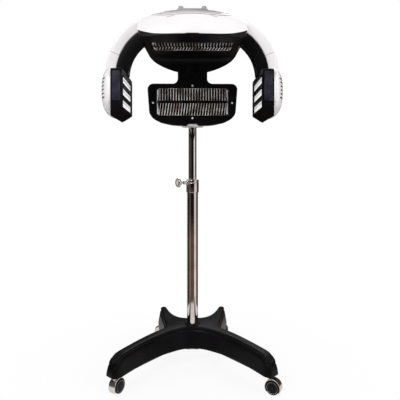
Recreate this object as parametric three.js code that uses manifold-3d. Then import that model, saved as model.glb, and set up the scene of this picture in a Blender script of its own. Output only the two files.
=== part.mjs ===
// Salon hair color processor: a hood with two sliding side lamps and a rear lamp,
// on a telescopic mast with a castered base. Millimetres, +Z up, front towards -Y,
// origin on the floor under the middle of the object.
import * as THREE from 'three';
import { mergeVertices } from 'three/addons/utils/BufferGeometryUtils.js';
import Module from 'manifold-3d';

const wasm = await Module();
wasm.setup();

// Fits
const GAP = 0.3; // between pieces that seat on each other
const RUN = 0.3; // round turning and sliding pieces
const OVER = 1; // how far a cut runs past the face it opens
const BEYOND = 20; // how far a trimming form runs past the body it trims

// Casters
const WHEEL_D = 52;
const WHEEL_W = 34;
const WHEEL_RECESS = 3;
const WHEEL_RIM = 5;
const AXLE_D = 8;
const CASTER_TRAIL = 14;
const CASTER_HOOD_CLEAR = 2.5;
const CASTER_HOOD_WALL = 2.5;
const CASTER_HOOD_BACK = 4; // how far the wheel stands out of the hood's open side
const CASTER_PLATE_D = 26;
const CASTER_PLATE_T = 5;
const CASTER_NECK_D = 16;
const CASTER_WRAP = 35; // degrees that the hood reaches below the axle, each side
const WHEEL_CHAMFER = 2;
const STEM_D = 11;
const STEM_L = 14;
const FRONT_YAW = { left: -30, right: -120 }; // how each caster happens to stand, degrees
const REAR_YAW = { left: 60, right: -37 };

// Base
const FRAME_Z = 64; // underside of the frame, where the casters seat
const FRAME_BAR_W = 28;
const FRAME_BAR_H = 16;
const FRAME_HUB_R = 58;
const FRONT_ELBOW = { x: 130, y: -96 }; // bends of the frame's bars
const REAR_ELBOW = { x: 104, y: 60 };
const COVER_TOP_Z = 158;
const COVER_FALL = 17; // drop of the top from the middle to the leg ends
const COVER_FOOT_Z = 68; // lower edge of the side walls
const COVER_WALL = 4;
const COVER_DRAFT = 18; // how far the walls spread from top to bottom
const COVER_REACH = 434; // radius where the full drop is reached, at the foot of the leg ends
const NOSE_R = 378; // radius where the top begins to round down over the front leg ends
const NOSE_Z = 72; // height where that rounding ends
const NOSE_STEPS = 6;
const FRONT_TIP = { x: 288, y: -293, r: 15 }; // leg ends, over the casters
const REAR_TIP = { x: 142, y: 254, r: 10 };
const FRONT_NOTCH_Y = -37;
const FRONT_EDGE_POWER = 1.82;
const REAR_NOTCH_Y = 75;
const REAR_EDGE_POWER = 3.1;
const WAIST = { x: 106, y: -38 };
const FRONT_TIP_ARC = { from: -142, to: 38 }; // degrees round the leg end
const REAR_TIP_ARC = { from: -4, to: 155 };
const FRONT_SIDE_PULL = { x: 62, y: -30 }; // from the waist to the side curves' handles
const REAR_SIDE_PULL = { x: 24, y: 110 };

// Mast
const OUTER_TUBE_D = 48;
const INNER_TUBE_D = 35;
const TUBE_WALL = 2;
const COLLAR_Z = 728;
const COLLAR_H = 57;
const COLLAR_D = 55;
const COLLAR_GRIP = 30; // length of the collar over the outer tube
const COLLAR_CHAMFER = 2;
const BUSH_L = 60;
const SOCKET_WALL = 6;
const SOCKET_FLANGE_R = 32;
const SOCKET_FLANGE_T = 6;
const SOCKET_DROP = 2; // flange below the inside of the cover's top
const TUBE_SEAT = 4; // floor of the socket under the outer tube
const INNER_TUBE_SHOW = 229; // from the collar to the head
const INNER_TUBE_L = 694;
const MAST_IN_HEAD = 110;
const SLIDER_L = 40;

// Clamp
const CLAMP_DROP = 13; // screw axis below the collar's top
const CLAMP_TURN = 27; // degrees from the side towards the front
const BOSS_D = 16;
const BOSS_REACH = 46;
const SCREW_D = 8;
const KNOB_D = 41;
const KNOB_T = 13;
const KNOB_HUB_D = 18;
const KNOB_HUB_L = 9;
const KNOB_REACH = 62; // mast axis to the knob's inner face

// Heater modules of the hood and of the rear lamp
const MODULE_W = 316;
const MODULE_H = 124;
const MODULE_R = 10;
const GUARD_T = 4;
const GUARD_RIM = 6;
const GUARD_WIRE = 2;
const GUARD_WIRES = 14;
const TRAY_DEPTH = 25;
const TRAY_END = 8;
const TRAY_SHEET = 1.5;
const TROUGH_DEPTH = 21;
const TROUGH_LAND = 3;
const ELEMENT_D = 12;
const ELEMENT_DEPTH = 10;

// Rear lamp, heights from the head's lower edge
const PANEL_FRONT_Y = -56;
const PANEL_T = 12;
const PANEL_H = 180;
const PANEL_HALF_W = 191;
const PANEL_LOW_HALF_W = 184;
const PANEL_LOW_Z = 60;
const PANEL_R = 25;
const PANEL_FOOT_PULL = { x: 11, z: 3 }; // handle of the lower edge's curve
const PANEL_NOTCH_HALF_W = 19;
const PANEL_NOTCH_H = 8;
const MODULE_Z = 102; // middle of the rear heater
const NECK_HALF_W = 62.5;
const NECK_FILLET = 22;
const NECK_TOP_Z = 203;
const REAR_COVER_T = 38;
const REAR_WALL = 4;
const SPINE_HALF_W = 46;
const SPINE_BACK_Y = 36;
const SPINE_R = 24;
const NECK_CAP_D = 55;
const NECK_CAP_T = 3;
const NECK_CAP_Z = 229;
const NECK_CAP_RIM = 5;
const NECK_CAP_DISH = 1;
const INLET = { x: 110, z: 58, w: 28, h: 20, depth: 14, wall: 3 };
const MAST_SOCKET_D = 49;
const MAST_SOCKET_FOOT = 16;
const MAST_SOCKET_CAP = 8;
const SPINE_PLATE_HALF_W = 30;
const SPINE_PLATE_T = 6;
const SPINE_FOOT_HALF = 12;

// Hood, heights from the head's lower edge
const UNDERSIDE_Z = 286;
const HOOD_MID_Y = -250;
const HOOD_MID_Z = 288;
const HOOD_HALF_W = 274;
const HOOD_FRONT = 159;
const HOOD_REAR = 310;
const HOOD_RISE = 128;
const HOOD_SINK = 120;
const HOOD_TAPER = 0.35;
const HOOD_WALL = 4;
const HOOD_END_X = 198;
const HOOD_END_Z = 319;
const HOOD_CORNER_X = 179;
const BOWL_HALF_W = 188;
const BOWL_MID_Z = 306;
const BOWL_DROP = 88;
const BOWL_POWER = 1.65;
const BOWL_STEPS = 24;
const BOWL_Y = -58;
const BOWL_BEND = 28;
const BOWL_LIFT = 0.25;
const RIM_Z = 290;
const RIM_RISE = 28;
const RIM_POWER = 4;
const RIM_BACK_Y = -32;
const TOP_MODULE_Y = -241.5;

// Controls on the hood
const CONTROL_Z = 412; // underside of the control plate
const CONTROL_T = 5;
const CONTROL_HALF_W = 58;
const CONTROL_FRONT_Y = -292;
const CONTROL_BACK_Y = -182;
const CONTROL_R = 14;
const CONTROL_LAP = 9;
const CONTROL_DECK = 4; // width of the flat round the control plate
const DIAL_X = 44;
const DIAL_Y = -272;
const DIAL_D = 20;
const DIAL_H = 13;
const DIAL_DRAFT = 1;
const DIAL_CHAMFER = 1.5;
const DIAL_SHAFT_D = 6;
const DIAL_SHAFT_L = 9;
const WINDOW = { y: -258, w: 46, d: 26, t: 1.2, r: 3 };
const SWITCH = { x: -18, y: -212, w: 18, d: 14, h: 6, tilt: 7, clear: 0.8 };
const BUTTON = { x: 18, y: -212, d: 12, h: 9, lift: 2.5 };
const BOARD_T = 1.6;
const BOARD_HALF_W = 44;
const BOARD_DROP = 16;
const BOARD_POST = 6;
const BOARD_MARGIN = 6;

// Side arms, right one described
const ARM_X = 88.7;
const ARM_Z = 172;
const ARM_R_IN = 155;
const ARM_R_MID = 201;
const ARM_R_OUT = 240;
const ARM_FRONT_Y = -266;
const ARM_BACK_Y = -206;
const ARM_WALL = 4;
const ARM_END = 61; // degrees, before the hood trims it
const ARM_CLEAR = 0.6;
const SEAM_ANGLE = 22;
const TONGUE_R_IN = 160;
const TONGUE_R_OUT = 195;
const TONGUE_INSET_Y = 16;
const TONGUE_START = 46;
const TONGUE_END = 80;
const TONGUE_CLEAR = 2;
const TONGUE_WAY = 6; // degrees that the opening for the tongue runs past it
const CORE_START = 3; // degrees between which the core is hollow
const CORE_END = 50;
const GUIDE_X = 161;
const GUIDE_W = 11;
const GUIDE_INSET_Y = 2;

// Side lamps
const LAMP_X = 248;
const LAMP_T = 40;
const LAMP_FRONT_Y = -383;
const LAMP_BACK_Y = -110;
const LAMP_TOP_Z = 176;
const LAMP_BOTTOM_Z = 33;
const LAMP_BOTTOM_FALL = 26;
const LAMP_R = 12;
const LAMP_WALL = 4;
const WINDOW_L = 228;
const WINDOW_H = 27;
const WINDOW_PITCH = 43;
const WINDOW_MID_Z = 98;
const TUBE_D = 13;
const LAMP_TRAY_T = 22;
const LAMP_TROUGH = 16;
const LAMP_TRAY_END = 8;
const TUBE_SINK = 1; // lamp tubes behind the face of their reflector
const SHELL_BULGE = 45;
const SHELL_POWER = 2.7;
const SHELL_BOTTOM_Z = 12;
const SHELL_TOP_Z = 196;
const VENTS = 6;
const VENT_PITCH = 13.5;
const VENT_L = 240;
const VENT_H = 5;
const VENT_LOW_Z = 74;

// Places that follow from the sizes
const HEAD_Z = COLLAR_Z + COLLAR_H + INNER_TUBE_SHOW;

// Facets
const ROUND = 20;
const SMALL_ROUND = 12;
const CORNER = 4; // steps of a rounded corner
const ARC_STEPS = 7;
const BAR_END = 2; // steps of a frame bar's rounded end
const UNIT_D = 2; // a rod of unit radius, scaled to its trough afterwards
const BED_FACETS = 96;
const DOME_ROUND = 28;
const DOME_RISE = 14;
const PILLOW_ROUND = 16;
const PILLOW_RISE = 10;

// Materials
const finish = (color, roughness, metalness = 0) =>
  new THREE.MeshStandardMaterial({ color, roughness, metalness });
const WHITE = finish(0xe9e7e8, 0.25);
const BLACK = finish(0x0b0b0d, 0.32);
const CHROME = finish(0xc9c4c0, 0.08, 1);
const STEEL = finish(0x8b8d90, 0.4, 0.9);
const MIRROR = finish(0xdfe0e2, 0.12, 1);
const QUARTZ = finish(0xe6d9cc, 0.15);
const WIRE = finish(0x2b2b2d, 0.35, 0.6);
const GREY = finish(0x9a9a9c, 0.45);
const RUBBER = finish(0x151516, 0.6);
const NYLON = finish(0xd9d6cc, 0.5);
const BOARD = finish(0x14532d, 0.5);
const GLASS = finish(0x10151a, 0.08);

// Solids from three.js geometry
function solid(geometry) {
  const bare = geometry.clone();
  bare.deleteAttribute('normal');
  bare.deleteAttribute('uv');
  const merged = mergeVertices(bare, 1e-4);
  const index = merged.index.array;
  const kept = [];
  for (let i = 0; i < index.length; i += 3) {
    const corners = [index[i], index[i + 1], index[i + 2]];
    if (new Set(corners).size === 3) kept.push(...corners);
  }
  const vertProperties = new Float32Array(merged.attributes.position.array);
  const triVerts = new Uint32Array(kept);
  return new wasm.Manifold(new wasm.Mesh({ numProp: 3, vertProperties, triVerts }));
}

function geometryOf(body) {
  const { vertProperties, triVerts } = body.getMesh();
  const geometry = new THREE.BufferGeometry();
  geometry.setAttribute('position', new THREE.BufferAttribute(vertProperties, 3));
  geometry.setIndex(new THREE.BufferAttribute(triVerts, 1));
  geometry.computeVertexNormals();
  return geometry;
}

const join = (...bodies) => bodies.reduce((sum, body) => sum.add(body));
const cut = (body, ...tools) => tools.reduce((rest, tool) => rest.subtract(tool), body);

function place(geometry, xAxis, yAxis, zAxis) {
  return geometry.applyMatrix4(new THREE.Matrix4().makeBasis(xAxis, yAxis, zAxis));
}
const X = new THREE.Vector3(1, 0, 0);
const Y = new THREE.Vector3(0, 1, 0);
const Z = new THREE.Vector3(0, 0, 1);
const BACK = new THREE.Vector3(0, -1, 0);

function extruded(shape, depth, curveSegments) {
  return new THREE.ExtrudeGeometry(shape, { depth, curveSegments, bevelEnabled: false });
}

// A plan shape carried up Z, a front view (x, z) carried along Y, a side view (y, z) along X
const prismZ = (shape, z0, z1, segments = CORNER) =>
  solid(extruded(shape, z1 - z0, segments).translate(0, 0, z0));
const prismY = (shape, y0, y1, segments = CORNER) =>
  solid(place(extruded(shape, y1 - y0, segments), X, Z, BACK).translate(0, y1, 0));
const prismX = (shape, x0, x1, segments = CORNER) =>
  solid(place(extruded(shape, x1 - x0, segments), Y, Z, X).translate(x0, 0, 0));

function box(x0, x1, y0, y1, z0, z1) {
  const geometry = new THREE.BoxGeometry(x1 - x0, y1 - y0, z1 - z0);
  return solid(geometry.translate((x0 + x1) / 2, (y0 + y1) / 2, (z0 + z1) / 2));
}

// A round rod along Z, X or Y from one height to the next
const cylinder = (d, length, segments) => new THREE.CylinderGeometry(d / 2, d / 2, length, segments);
const rodZ = (d, z0, z1, segments = ROUND) =>
  solid(cylinder(d, z1 - z0, segments).rotateX(Math.PI / 2).translate(0, 0, (z0 + z1) / 2));
const rodX = (d, x0, x1, segments = ROUND) =>
  solid(cylinder(d, x1 - x0, segments).rotateZ(Math.PI / 2).translate((x0 + x1) / 2, 0, 0));
const rodY = (d, y0, y1, segments = ROUND) =>
  solid(cylinder(d, y1 - y0, segments).translate(0, (y0 + y1) / 2, 0));

// A ring or a turned body about Z, its section as (radius, height) with the outside going up
function turned(section, segments = ROUND) {
  const points = section.map(([r, z]) => new THREE.Vector2(r, z));
  if (section[0][0] > 0) points.push(points[0].clone());
  return solid(new THREE.LatheGeometry(points, segments).rotateX(Math.PI / 2));
}

function roundedRect(width, height, radius, midX = 0, midY = 0) {
  const shape = new THREE.Shape();
  const x = width / 2 - radius;
  const y = height / 2 - radius;
  shape.absarc(midX + x, midY - y, radius, -Math.PI / 2, 0);
  shape.absarc(midX + x, midY + y, radius, 0, Math.PI / 2);
  shape.absarc(midX - x, midY + y, radius, Math.PI / 2, Math.PI);
  shape.absarc(midX - x, midY - y, radius, Math.PI, 1.5 * Math.PI);
  shape.closePath();
  return shape;
}

function polygon(points) {
  return new THREE.Shape(points.map(([x, y]) => new THREE.Vector2(x, y)));
}

const radians = THREE.MathUtils.degToRad;

// Scene graph
const processor = new THREE.Group();

function add(parent, name, body, material) {
  const mesh = new THREE.Mesh(geometryOf(body), material);
  mesh.name = name;
  parent.add(mesh);
  return mesh;
}

// Base cover: outline of the top, half of it, from the front notch round to the rear notch
function coverOutline() {
  const start = radians(FRONT_TIP_ARC.from);
  const outer = radians(FRONT_TIP_ARC.to);
  const rearOuter = radians(REAR_TIP_ARC.from);
  const rearInner = radians(REAR_TIP_ARC.to);
  const onTip = (tip, angle) =>
    new THREE.Vector2(tip.x + tip.r * Math.cos(angle), tip.y + tip.r * Math.sin(angle));
  const tipArc = (tip, from, to, steps) =>
    Array.from({ length: steps + 1 }, (_, i) => onTip(tip, from + ((to - from) * i) / steps));
  const edge = (end, notch, power, steps) =>
    Array.from({ length: steps }, (_, i) => {
      const share = i / steps;
      return new THREE.Vector2(end.x * share, notch + (end.y - notch) * share ** power);
    });
  const waist = new THREE.Vector2(WAIST.x, WAIST.y);
  const frontSide = new THREE.QuadraticBezierCurve(
    onTip(FRONT_TIP, outer),
    new THREE.Vector2(WAIST.x + FRONT_SIDE_PULL.x, WAIST.y + FRONT_SIDE_PULL.y),
    waist,
  );
  const rearSide = new THREE.QuadraticBezierCurve(
    waist,
    new THREE.Vector2(WAIST.x + REAR_SIDE_PULL.x, WAIST.y + REAR_SIDE_PULL.y),
    onTip(REAR_TIP, rearOuter),
  );
  const half = [
    ...edge(onTip(FRONT_TIP, start), FRONT_NOTCH_Y, FRONT_EDGE_POWER, 7),
    ...tipArc(FRONT_TIP, start, outer, CORNER),
    ...frontSide.getPoints(CORNER).slice(1),
    ...rearSide.getPoints(CORNER).slice(1),
    ...tipArc(REAR_TIP, rearOuter, rearInner, CORNER).slice(1),
    ...edge(onTip(REAR_TIP, rearInner), REAR_NOTCH_Y, REAR_EDGE_POWER, 6).reverse(),
  ];
  const mirrored = half.slice(1, -1).reverse().map((p) => new THREE.Vector2(-p.x, p.y));
  return [...half, ...mirrored];
}

// Every outline point moved outwards along the bisector of its two edges
function spread(outline, distance) {
  const count = outline.length;
  return outline.map((point, i) => {
    const before = outline[(i + count - 1) % count];
    const after = outline[(i + 1) % count];
    const along = after.clone().sub(before).normalize();
    return new THREE.Vector2(point.x + along.y * distance, point.y - along.x * distance);
  });
}

// A body between a lower and an upper outline with as many points
function loft(lower, z0, upper, z1) {
  const count = lower.length;
  const corners = [
    ...lower.flatMap((p) => [p.x, p.y, z0]),
    ...upper.flatMap((p) => [p.x, p.y, z1]),
  ];
  const caps = THREE.ShapeUtils.triangulateShape(upper, []);
  const faces = [];
  for (const [a, b, c] of caps) faces.push(a + count, b + count, c + count, c, b, a);
  for (let i = 0; i < count; i += 1) {
    const next = (i + 1) % count;
    faces.push(i, next, next + count, i, next + count, i + count);
  }
  const geometry = new THREE.BufferGeometry();
  geometry.setAttribute('position', new THREE.Float32BufferAttribute(corners, 3));
  geometry.setIndex(faces);
  return solid(geometry);
}

function buildBase() {
  const base = new THREE.Group();
  processor.add(base);

  const outline = coverOutline();
  const topAt = (r) => COVER_TOP_Z - (COVER_FALL * r) / COVER_REACH;
  const crown = (inset, depth) => {
    const nose = Array.from({ length: NOSE_STEPS + 1 }, (_, i) => {
      const turn = (i / NOSE_STEPS) * (Math.PI / 2);
      const reach = COVER_REACH - NOSE_R - inset;
      const rise = topAt(NOSE_R) - inset - NOSE_Z;
      return [NOSE_R + reach * Math.cos(turn), NOSE_Z + rise * Math.sin(turn)];
    });
    return turned([
      [0, COVER_FOOT_Z - depth],
      [COVER_REACH - inset, COVER_FOOT_Z - depth],
      ...nose,
      [0, topAt(0) - inset],
    ], DOME_ROUND);
  };
  const walls = (inset) =>
    loft(
      spread(outline, COVER_DRAFT - inset),
      COVER_FOOT_Z - COVER_WALL,
      spread(outline, -inset),
      COVER_TOP_Z + COVER_WALL,
    );
  const outside = walls(0).intersect(crown(0, 0));
  const inside = walls(COVER_WALL).intersect(crown(COVER_WALL, COVER_WALL));
  const tubeHole = rodZ(OUTER_TUBE_D + 2 * GAP, COVER_FOOT_Z, COVER_TOP_Z + COVER_WALL);
  add(base, 'base_cover', cut(outside, inside, tubeHole), BLACK);

  const frameTop = FRAME_Z + FRAME_BAR_H;
  const socketTop = COVER_TOP_Z - COVER_WALL - SOCKET_DROP;
  const bars = [];
  const stemHoles = [];
  const bar = (from, to) => {
    const length = Math.hypot(to.x - from.x, to.y - from.y);
    const heading = THREE.MathUtils.radToDeg(Math.atan2(to.y - from.y, to.x - from.x));
    const plan = new THREE.Shape();
    plan.absarc(0, 0, FRAME_BAR_W / 2, Math.PI / 2, 1.5 * Math.PI);
    plan.absarc(length, 0, FRAME_BAR_W / 2, -Math.PI / 2, Math.PI / 2);
    plan.closePath();
    return prismZ(plan, FRAME_Z, frameTop, BAR_END).rotate([0, 0, heading]).translate([from.x, from.y, 0]);
  };
  for (const [tip, elbow] of [[FRONT_TIP, FRONT_ELBOW], [REAR_TIP, REAR_ELBOW]]) {
    for (const side of [-1, 1]) {
      const bend = { x: side * elbow.x, y: elbow.y };
      bars.push(bar({ x: 0, y: 0 }, bend), bar(bend, { x: side * tip.x, y: tip.y }));
      const hole = rodZ(STEM_D + 2 * RUN, FRAME_Z - OVER, FRAME_Z + STEM_L + GAP, SMALL_ROUND);
      stemHoles.push(hole.translate([side * tip.x, tip.y, 0]));
    }
  }
  const hub = rodZ(2 * FRAME_HUB_R, FRAME_Z, frameTop);
  const room = walls(COVER_WALL + GAP);
  add(base, 'base_frame', cut(join(hub, ...bars).intersect(room), ...stemHoles), STEEL);

  const tubeR = OUTER_TUBE_D / 2;
  const socketR = tubeR + GAP + SOCKET_WALL;
  const socketLow = frameTop + GAP;
  add(base, 'pole_socket', turned([
    [0, socketLow],
    [socketR, socketLow],
    [socketR, socketTop - SOCKET_FLANGE_T],
    [SOCKET_FLANGE_R, socketTop - SOCKET_FLANGE_T],
    [SOCKET_FLANGE_R, socketTop],
    [tubeR + GAP, socketTop],
    [tubeR + GAP, socketLow + TUBE_SEAT],
    [0, socketLow + TUBE_SEAT],
  ]), STEEL);

  const tubeLow = socketLow + TUBE_SEAT + GAP;
  const tubeTop = COLLAR_Z + COLLAR_GRIP;
  const boreR = tubeR - TUBE_WALL;
  add(base, 'outer_tube', turned([
    [boreR, tubeLow],
    [tubeR, tubeLow],
    [tubeR, tubeTop],
    [boreR, tubeTop],
  ]), CHROME);

  const innerR = INNER_TUBE_D / 2;
  add(base, 'guide_bush', turned([
    [innerR + RUN, tubeTop - BUSH_L],
    [boreR - GAP, tubeTop - BUSH_L],
    [boreR - GAP, tubeTop],
    [innerR + RUN, tubeTop],
  ]), NYLON);

  const collarR = COLLAR_D / 2;
  const collarTop = COLLAR_Z + COLLAR_H;
  const ring = turned([
    [tubeR + GAP, COLLAR_Z],
    [collarR - COLLAR_CHAMFER, COLLAR_Z],
    [collarR, COLLAR_Z + COLLAR_CHAMFER],
    [collarR, collarTop - COLLAR_CHAMFER],
    [collarR - COLLAR_CHAMFER, collarTop],
    [innerR + RUN, collarTop],
    [innerR + RUN, tubeTop + GAP],
    [tubeR + GAP, tubeTop + GAP],
  ]);
  const clampZ = collarTop - CLAMP_DROP;
  const towardsKnob = (body) => body.rotate([0, 0, CLAMP_TURN]).translate([0, 0, clampZ]);
  const boss = rodX(BOSS_D, -BOSS_REACH, -(collarR - COLLAR_CHAMFER), SMALL_ROUND);
  const screwHole = rodX(SCREW_D + 2 * RUN, -BOSS_REACH - OVER, -innerR, SMALL_ROUND);
  add(base, 'clamp_collar', cut(join(ring, towardsKnob(boss)), towardsKnob(screwHole)), CHROME);

  const screwOut = KNOB_REACH + KNOB_T / 2;
  const screw = rodX(SCREW_D, -screwOut, -(innerR + RUN), SMALL_ROUND);
  add(base, 'clamp_screw', towardsKnob(screw), CHROME);
  const disc = rodX(KNOB_D, -(KNOB_REACH + KNOB_T), -KNOB_REACH);
  const hubOfKnob = rodX(KNOB_HUB_D, -KNOB_REACH - OVER, -(KNOB_REACH - KNOB_HUB_L), SMALL_ROUND);
  const knobBore = rodX(SCREW_D + 2 * GAP, -(screwOut + GAP), 0, SMALL_ROUND);
  add(base, 'clamp_knob', towardsKnob(cut(join(disc, hubOfKnob), knobBore)), CHROME);
}

// One caster in its own frame: swivel axis on Z, axle along X, wheel trailing towards +Y
function buildCaster(label, x, y, yaw) {
  const caster = new THREE.Group();
  caster.position.set(x, y, 0);
  caster.rotation.z = radians(yaw);
  processor.add(caster);

  const wheelR = WHEEL_D / 2;
  const half = WHEEL_W / 2;
  const bore = AXLE_D / 2 + RUN;
  const facets = 16;
  const tangent = 1 / Math.cos(Math.PI / facets); // flats of the tread lie on the wheel's radius
  const discR = wheelR - WHEEL_RIM;
  const wheel = turned([
    [bore, -half],
    [wheelR * tangent - WHEEL_CHAMFER, -half],
    [wheelR * tangent, WHEEL_CHAMFER - half],
    [wheelR * tangent, half - WHEEL_CHAMFER],
    [wheelR * tangent - WHEEL_CHAMFER, half],
    [discR, half],
    [discR, half - WHEEL_RECESS],
    [bore, half - WHEEL_RECESS],
  ], facets);
  const onAxle = (body) => body.rotate([0, 90, 0]).translate([0, CASTER_TRAIL, wheelR]);
  const flatDown = 180 / facets;
  add(caster, `caster_wheel_${label}`, onAxle(wheel.rotate([0, 0, flatDown])), RUBBER);

  const hoodIn = wheelR + CASTER_HOOD_CLEAR;
  const hoodOut = hoodIn + CASTER_HOOD_WALL;
  const closed = -(half + OVER);
  const open = half - CASTER_HOOD_BACK;
  const arch = new THREE.Shape();
  arch.absarc(0, 0, hoodOut, radians(-CASTER_WRAP), radians(180 + CASTER_WRAP));
  arch.closePath();
  const pocket = rodX(2 * hoodIn, closed, open + OVER, facets);
  const skull = prismX(arch, closed - CASTER_HOOD_WALL, open, SMALL_ROUND);
  const axle = rodX(AXLE_D, closed - CASTER_HOOD_WALL, half, SMALL_ROUND);
  const atWheel = (body) => body.translate([0, CASTER_TRAIL, wheelR]);
  const crown = wheelR + Math.sqrt(hoodOut ** 2 - CASTER_TRAIL ** 2);
  const plateTop = FRAME_Z - GAP;
  const plate = rodZ(CASTER_PLATE_D, plateTop - CASTER_PLATE_T, plateTop, SMALL_ROUND);
  const neck = rodZ(CASTER_NECK_D, crown - CASTER_HOOD_WALL, plateTop - OVER, SMALL_ROUND);
  const stem = rodZ(STEM_D, plateTop - OVER, FRAME_Z + STEM_L, SMALL_ROUND);
  const hood = cut(join(atWheel(skull), plate, neck, stem), atWheel(pocket));
  add(caster, `caster_hood_${label}`, join(hood, atWheel(axle)), CHROME);
}

function buildMast() {
  const mast = new THREE.Group();
  processor.add(mast);
  const top = HEAD_Z + MAST_IN_HEAD;
  const low = top - INNER_TUBE_L;
  const r = INNER_TUBE_D / 2;
  add(mast, 'inner_tube', turned([
    [r - TUBE_WALL, low],
    [r, low],
    [r, top],
    [r - TUBE_WALL, top],
  ]), CHROME);
  const sliderR = OUTER_TUBE_D / 2 - TUBE_WALL - RUN;
  add(mast, 'mast_slider', rodZ(2 * sliderR, low - GAP - SLIDER_L, low - GAP), NYLON);
}

// A heater in its own frame: x across, y up, z out of the face that the guard lies in
function buildHeater(parent, label, elementNames) {
  const w = MODULE_W - 2 * GAP;
  const h = MODULE_H - 2 * GAP;
  const r = MODULE_R - GAP;
  const rim = cut(
    prismZ(roundedRect(w, h, r), -GUARD_T, 0),
    prismZ(roundedRect(w - 2 * GUARD_RIM, h - 2 * GUARD_RIM, r - GUARD_RIM / 2), -GUARD_T - OVER, OVER),
  );
  const pitch = (w - 2 * GUARD_RIM) / (GUARD_WIRES + 1);
  const wires = Array.from({ length: GUARD_WIRES }, (_, i) => {
    const mid = (i + 1) * pitch - (w / 2 - GUARD_RIM);
    const half = GUARD_WIRE / 2;
    const reach = h / 2 - GUARD_RIM / 2;
    return box(mid - half, mid + half, -reach, reach, -GUARD_T / 2 - half, half - GUARD_T / 2);
  });
  add(parent, `${label}_guard`, join(rim, ...wires), WIRE);

  const face = -GUARD_T - GAP;
  const troughHalf = h / 4 - TROUGH_LAND;
  const elementEnd = w / 2 - TRAY_END;
  const trough = (grow) => {
    const end = elementEnd + grow;
    const hollow = rodX(UNIT_D, -end, end, SMALL_ROUND).scale([1, troughHalf + grow, TROUGH_DEPTH + grow]);
    return [-1, 1].map((side) => hollow.translate([0, (side * h) / 4, face]));
  };
  const block = prismZ(roundedRect(w, h, r), face - TRAY_DEPTH, face);
  const behind = prismZ(
    roundedRect(w - 2 * TRAY_SHEET, h - 2 * TRAY_SHEET, r - TRAY_SHEET),
    face - TRAY_DEPTH - OVER,
    face - TRAY_SHEET,
  );
  add(parent, `${label}_reflector`, cut(block, ...trough(0), cut(behind, ...trough(TRAY_SHEET))), MIRROR);

  elementNames.forEach((name, i) => {
    const side = i === 0 ? 1 : -1;
    const element = rodX(ELEMENT_D, GAP - elementEnd, elementEnd - GAP, SMALL_ROUND);
    add(parent, name, element.translate([0, (side * h) / 4, face - ELEMENT_DEPTH]), QUARTZ);
  });
}

// Front view of the rear lamp with its neck, grown or shrunk all round by a margin
function panelShape(margin = 0) {
  const shape = new THREE.Shape();
  const half = PANEL_HALF_W + margin;
  const low = PANEL_LOW_HALF_W + margin;
  const top = PANEL_H + margin;
  const neck = NECK_HALF_W + margin;
  const notch = PANEL_NOTCH_HALF_W - margin;
  const foot = -margin;
  shape.moveTo(notch, foot);
  shape.quadraticCurveTo(low - PANEL_FOOT_PULL.x, foot + PANEL_FOOT_PULL.z, low, PANEL_LOW_Z);
  shape.lineTo(half, top - PANEL_R);
  shape.absarc(half - PANEL_R, top - PANEL_R, PANEL_R, 0, Math.PI / 2);
  shape.absarc(neck + NECK_FILLET, top + NECK_FILLET, NECK_FILLET, -Math.PI / 2, Math.PI, true);
  shape.lineTo(neck, NECK_TOP_Z - GAP);
  shape.lineTo(-neck, NECK_TOP_Z - GAP);
  shape.absarc(-neck - NECK_FILLET, top + NECK_FILLET, NECK_FILLET, 0, -Math.PI / 2, true);
  shape.absarc(PANEL_R - half, top - PANEL_R, PANEL_R, Math.PI / 2, Math.PI);
  shape.lineTo(-low, PANEL_LOW_Z);
  shape.quadraticCurveTo(PANEL_FOOT_PULL.x - low, foot + PANEL_FOOT_PULL.z, -notch, foot);
  shape.lineTo(-notch, foot + PANEL_NOTCH_H);
  shape.lineTo(notch, foot + PANEL_NOTCH_H);
  shape.closePath();
  return shape;
}

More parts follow.
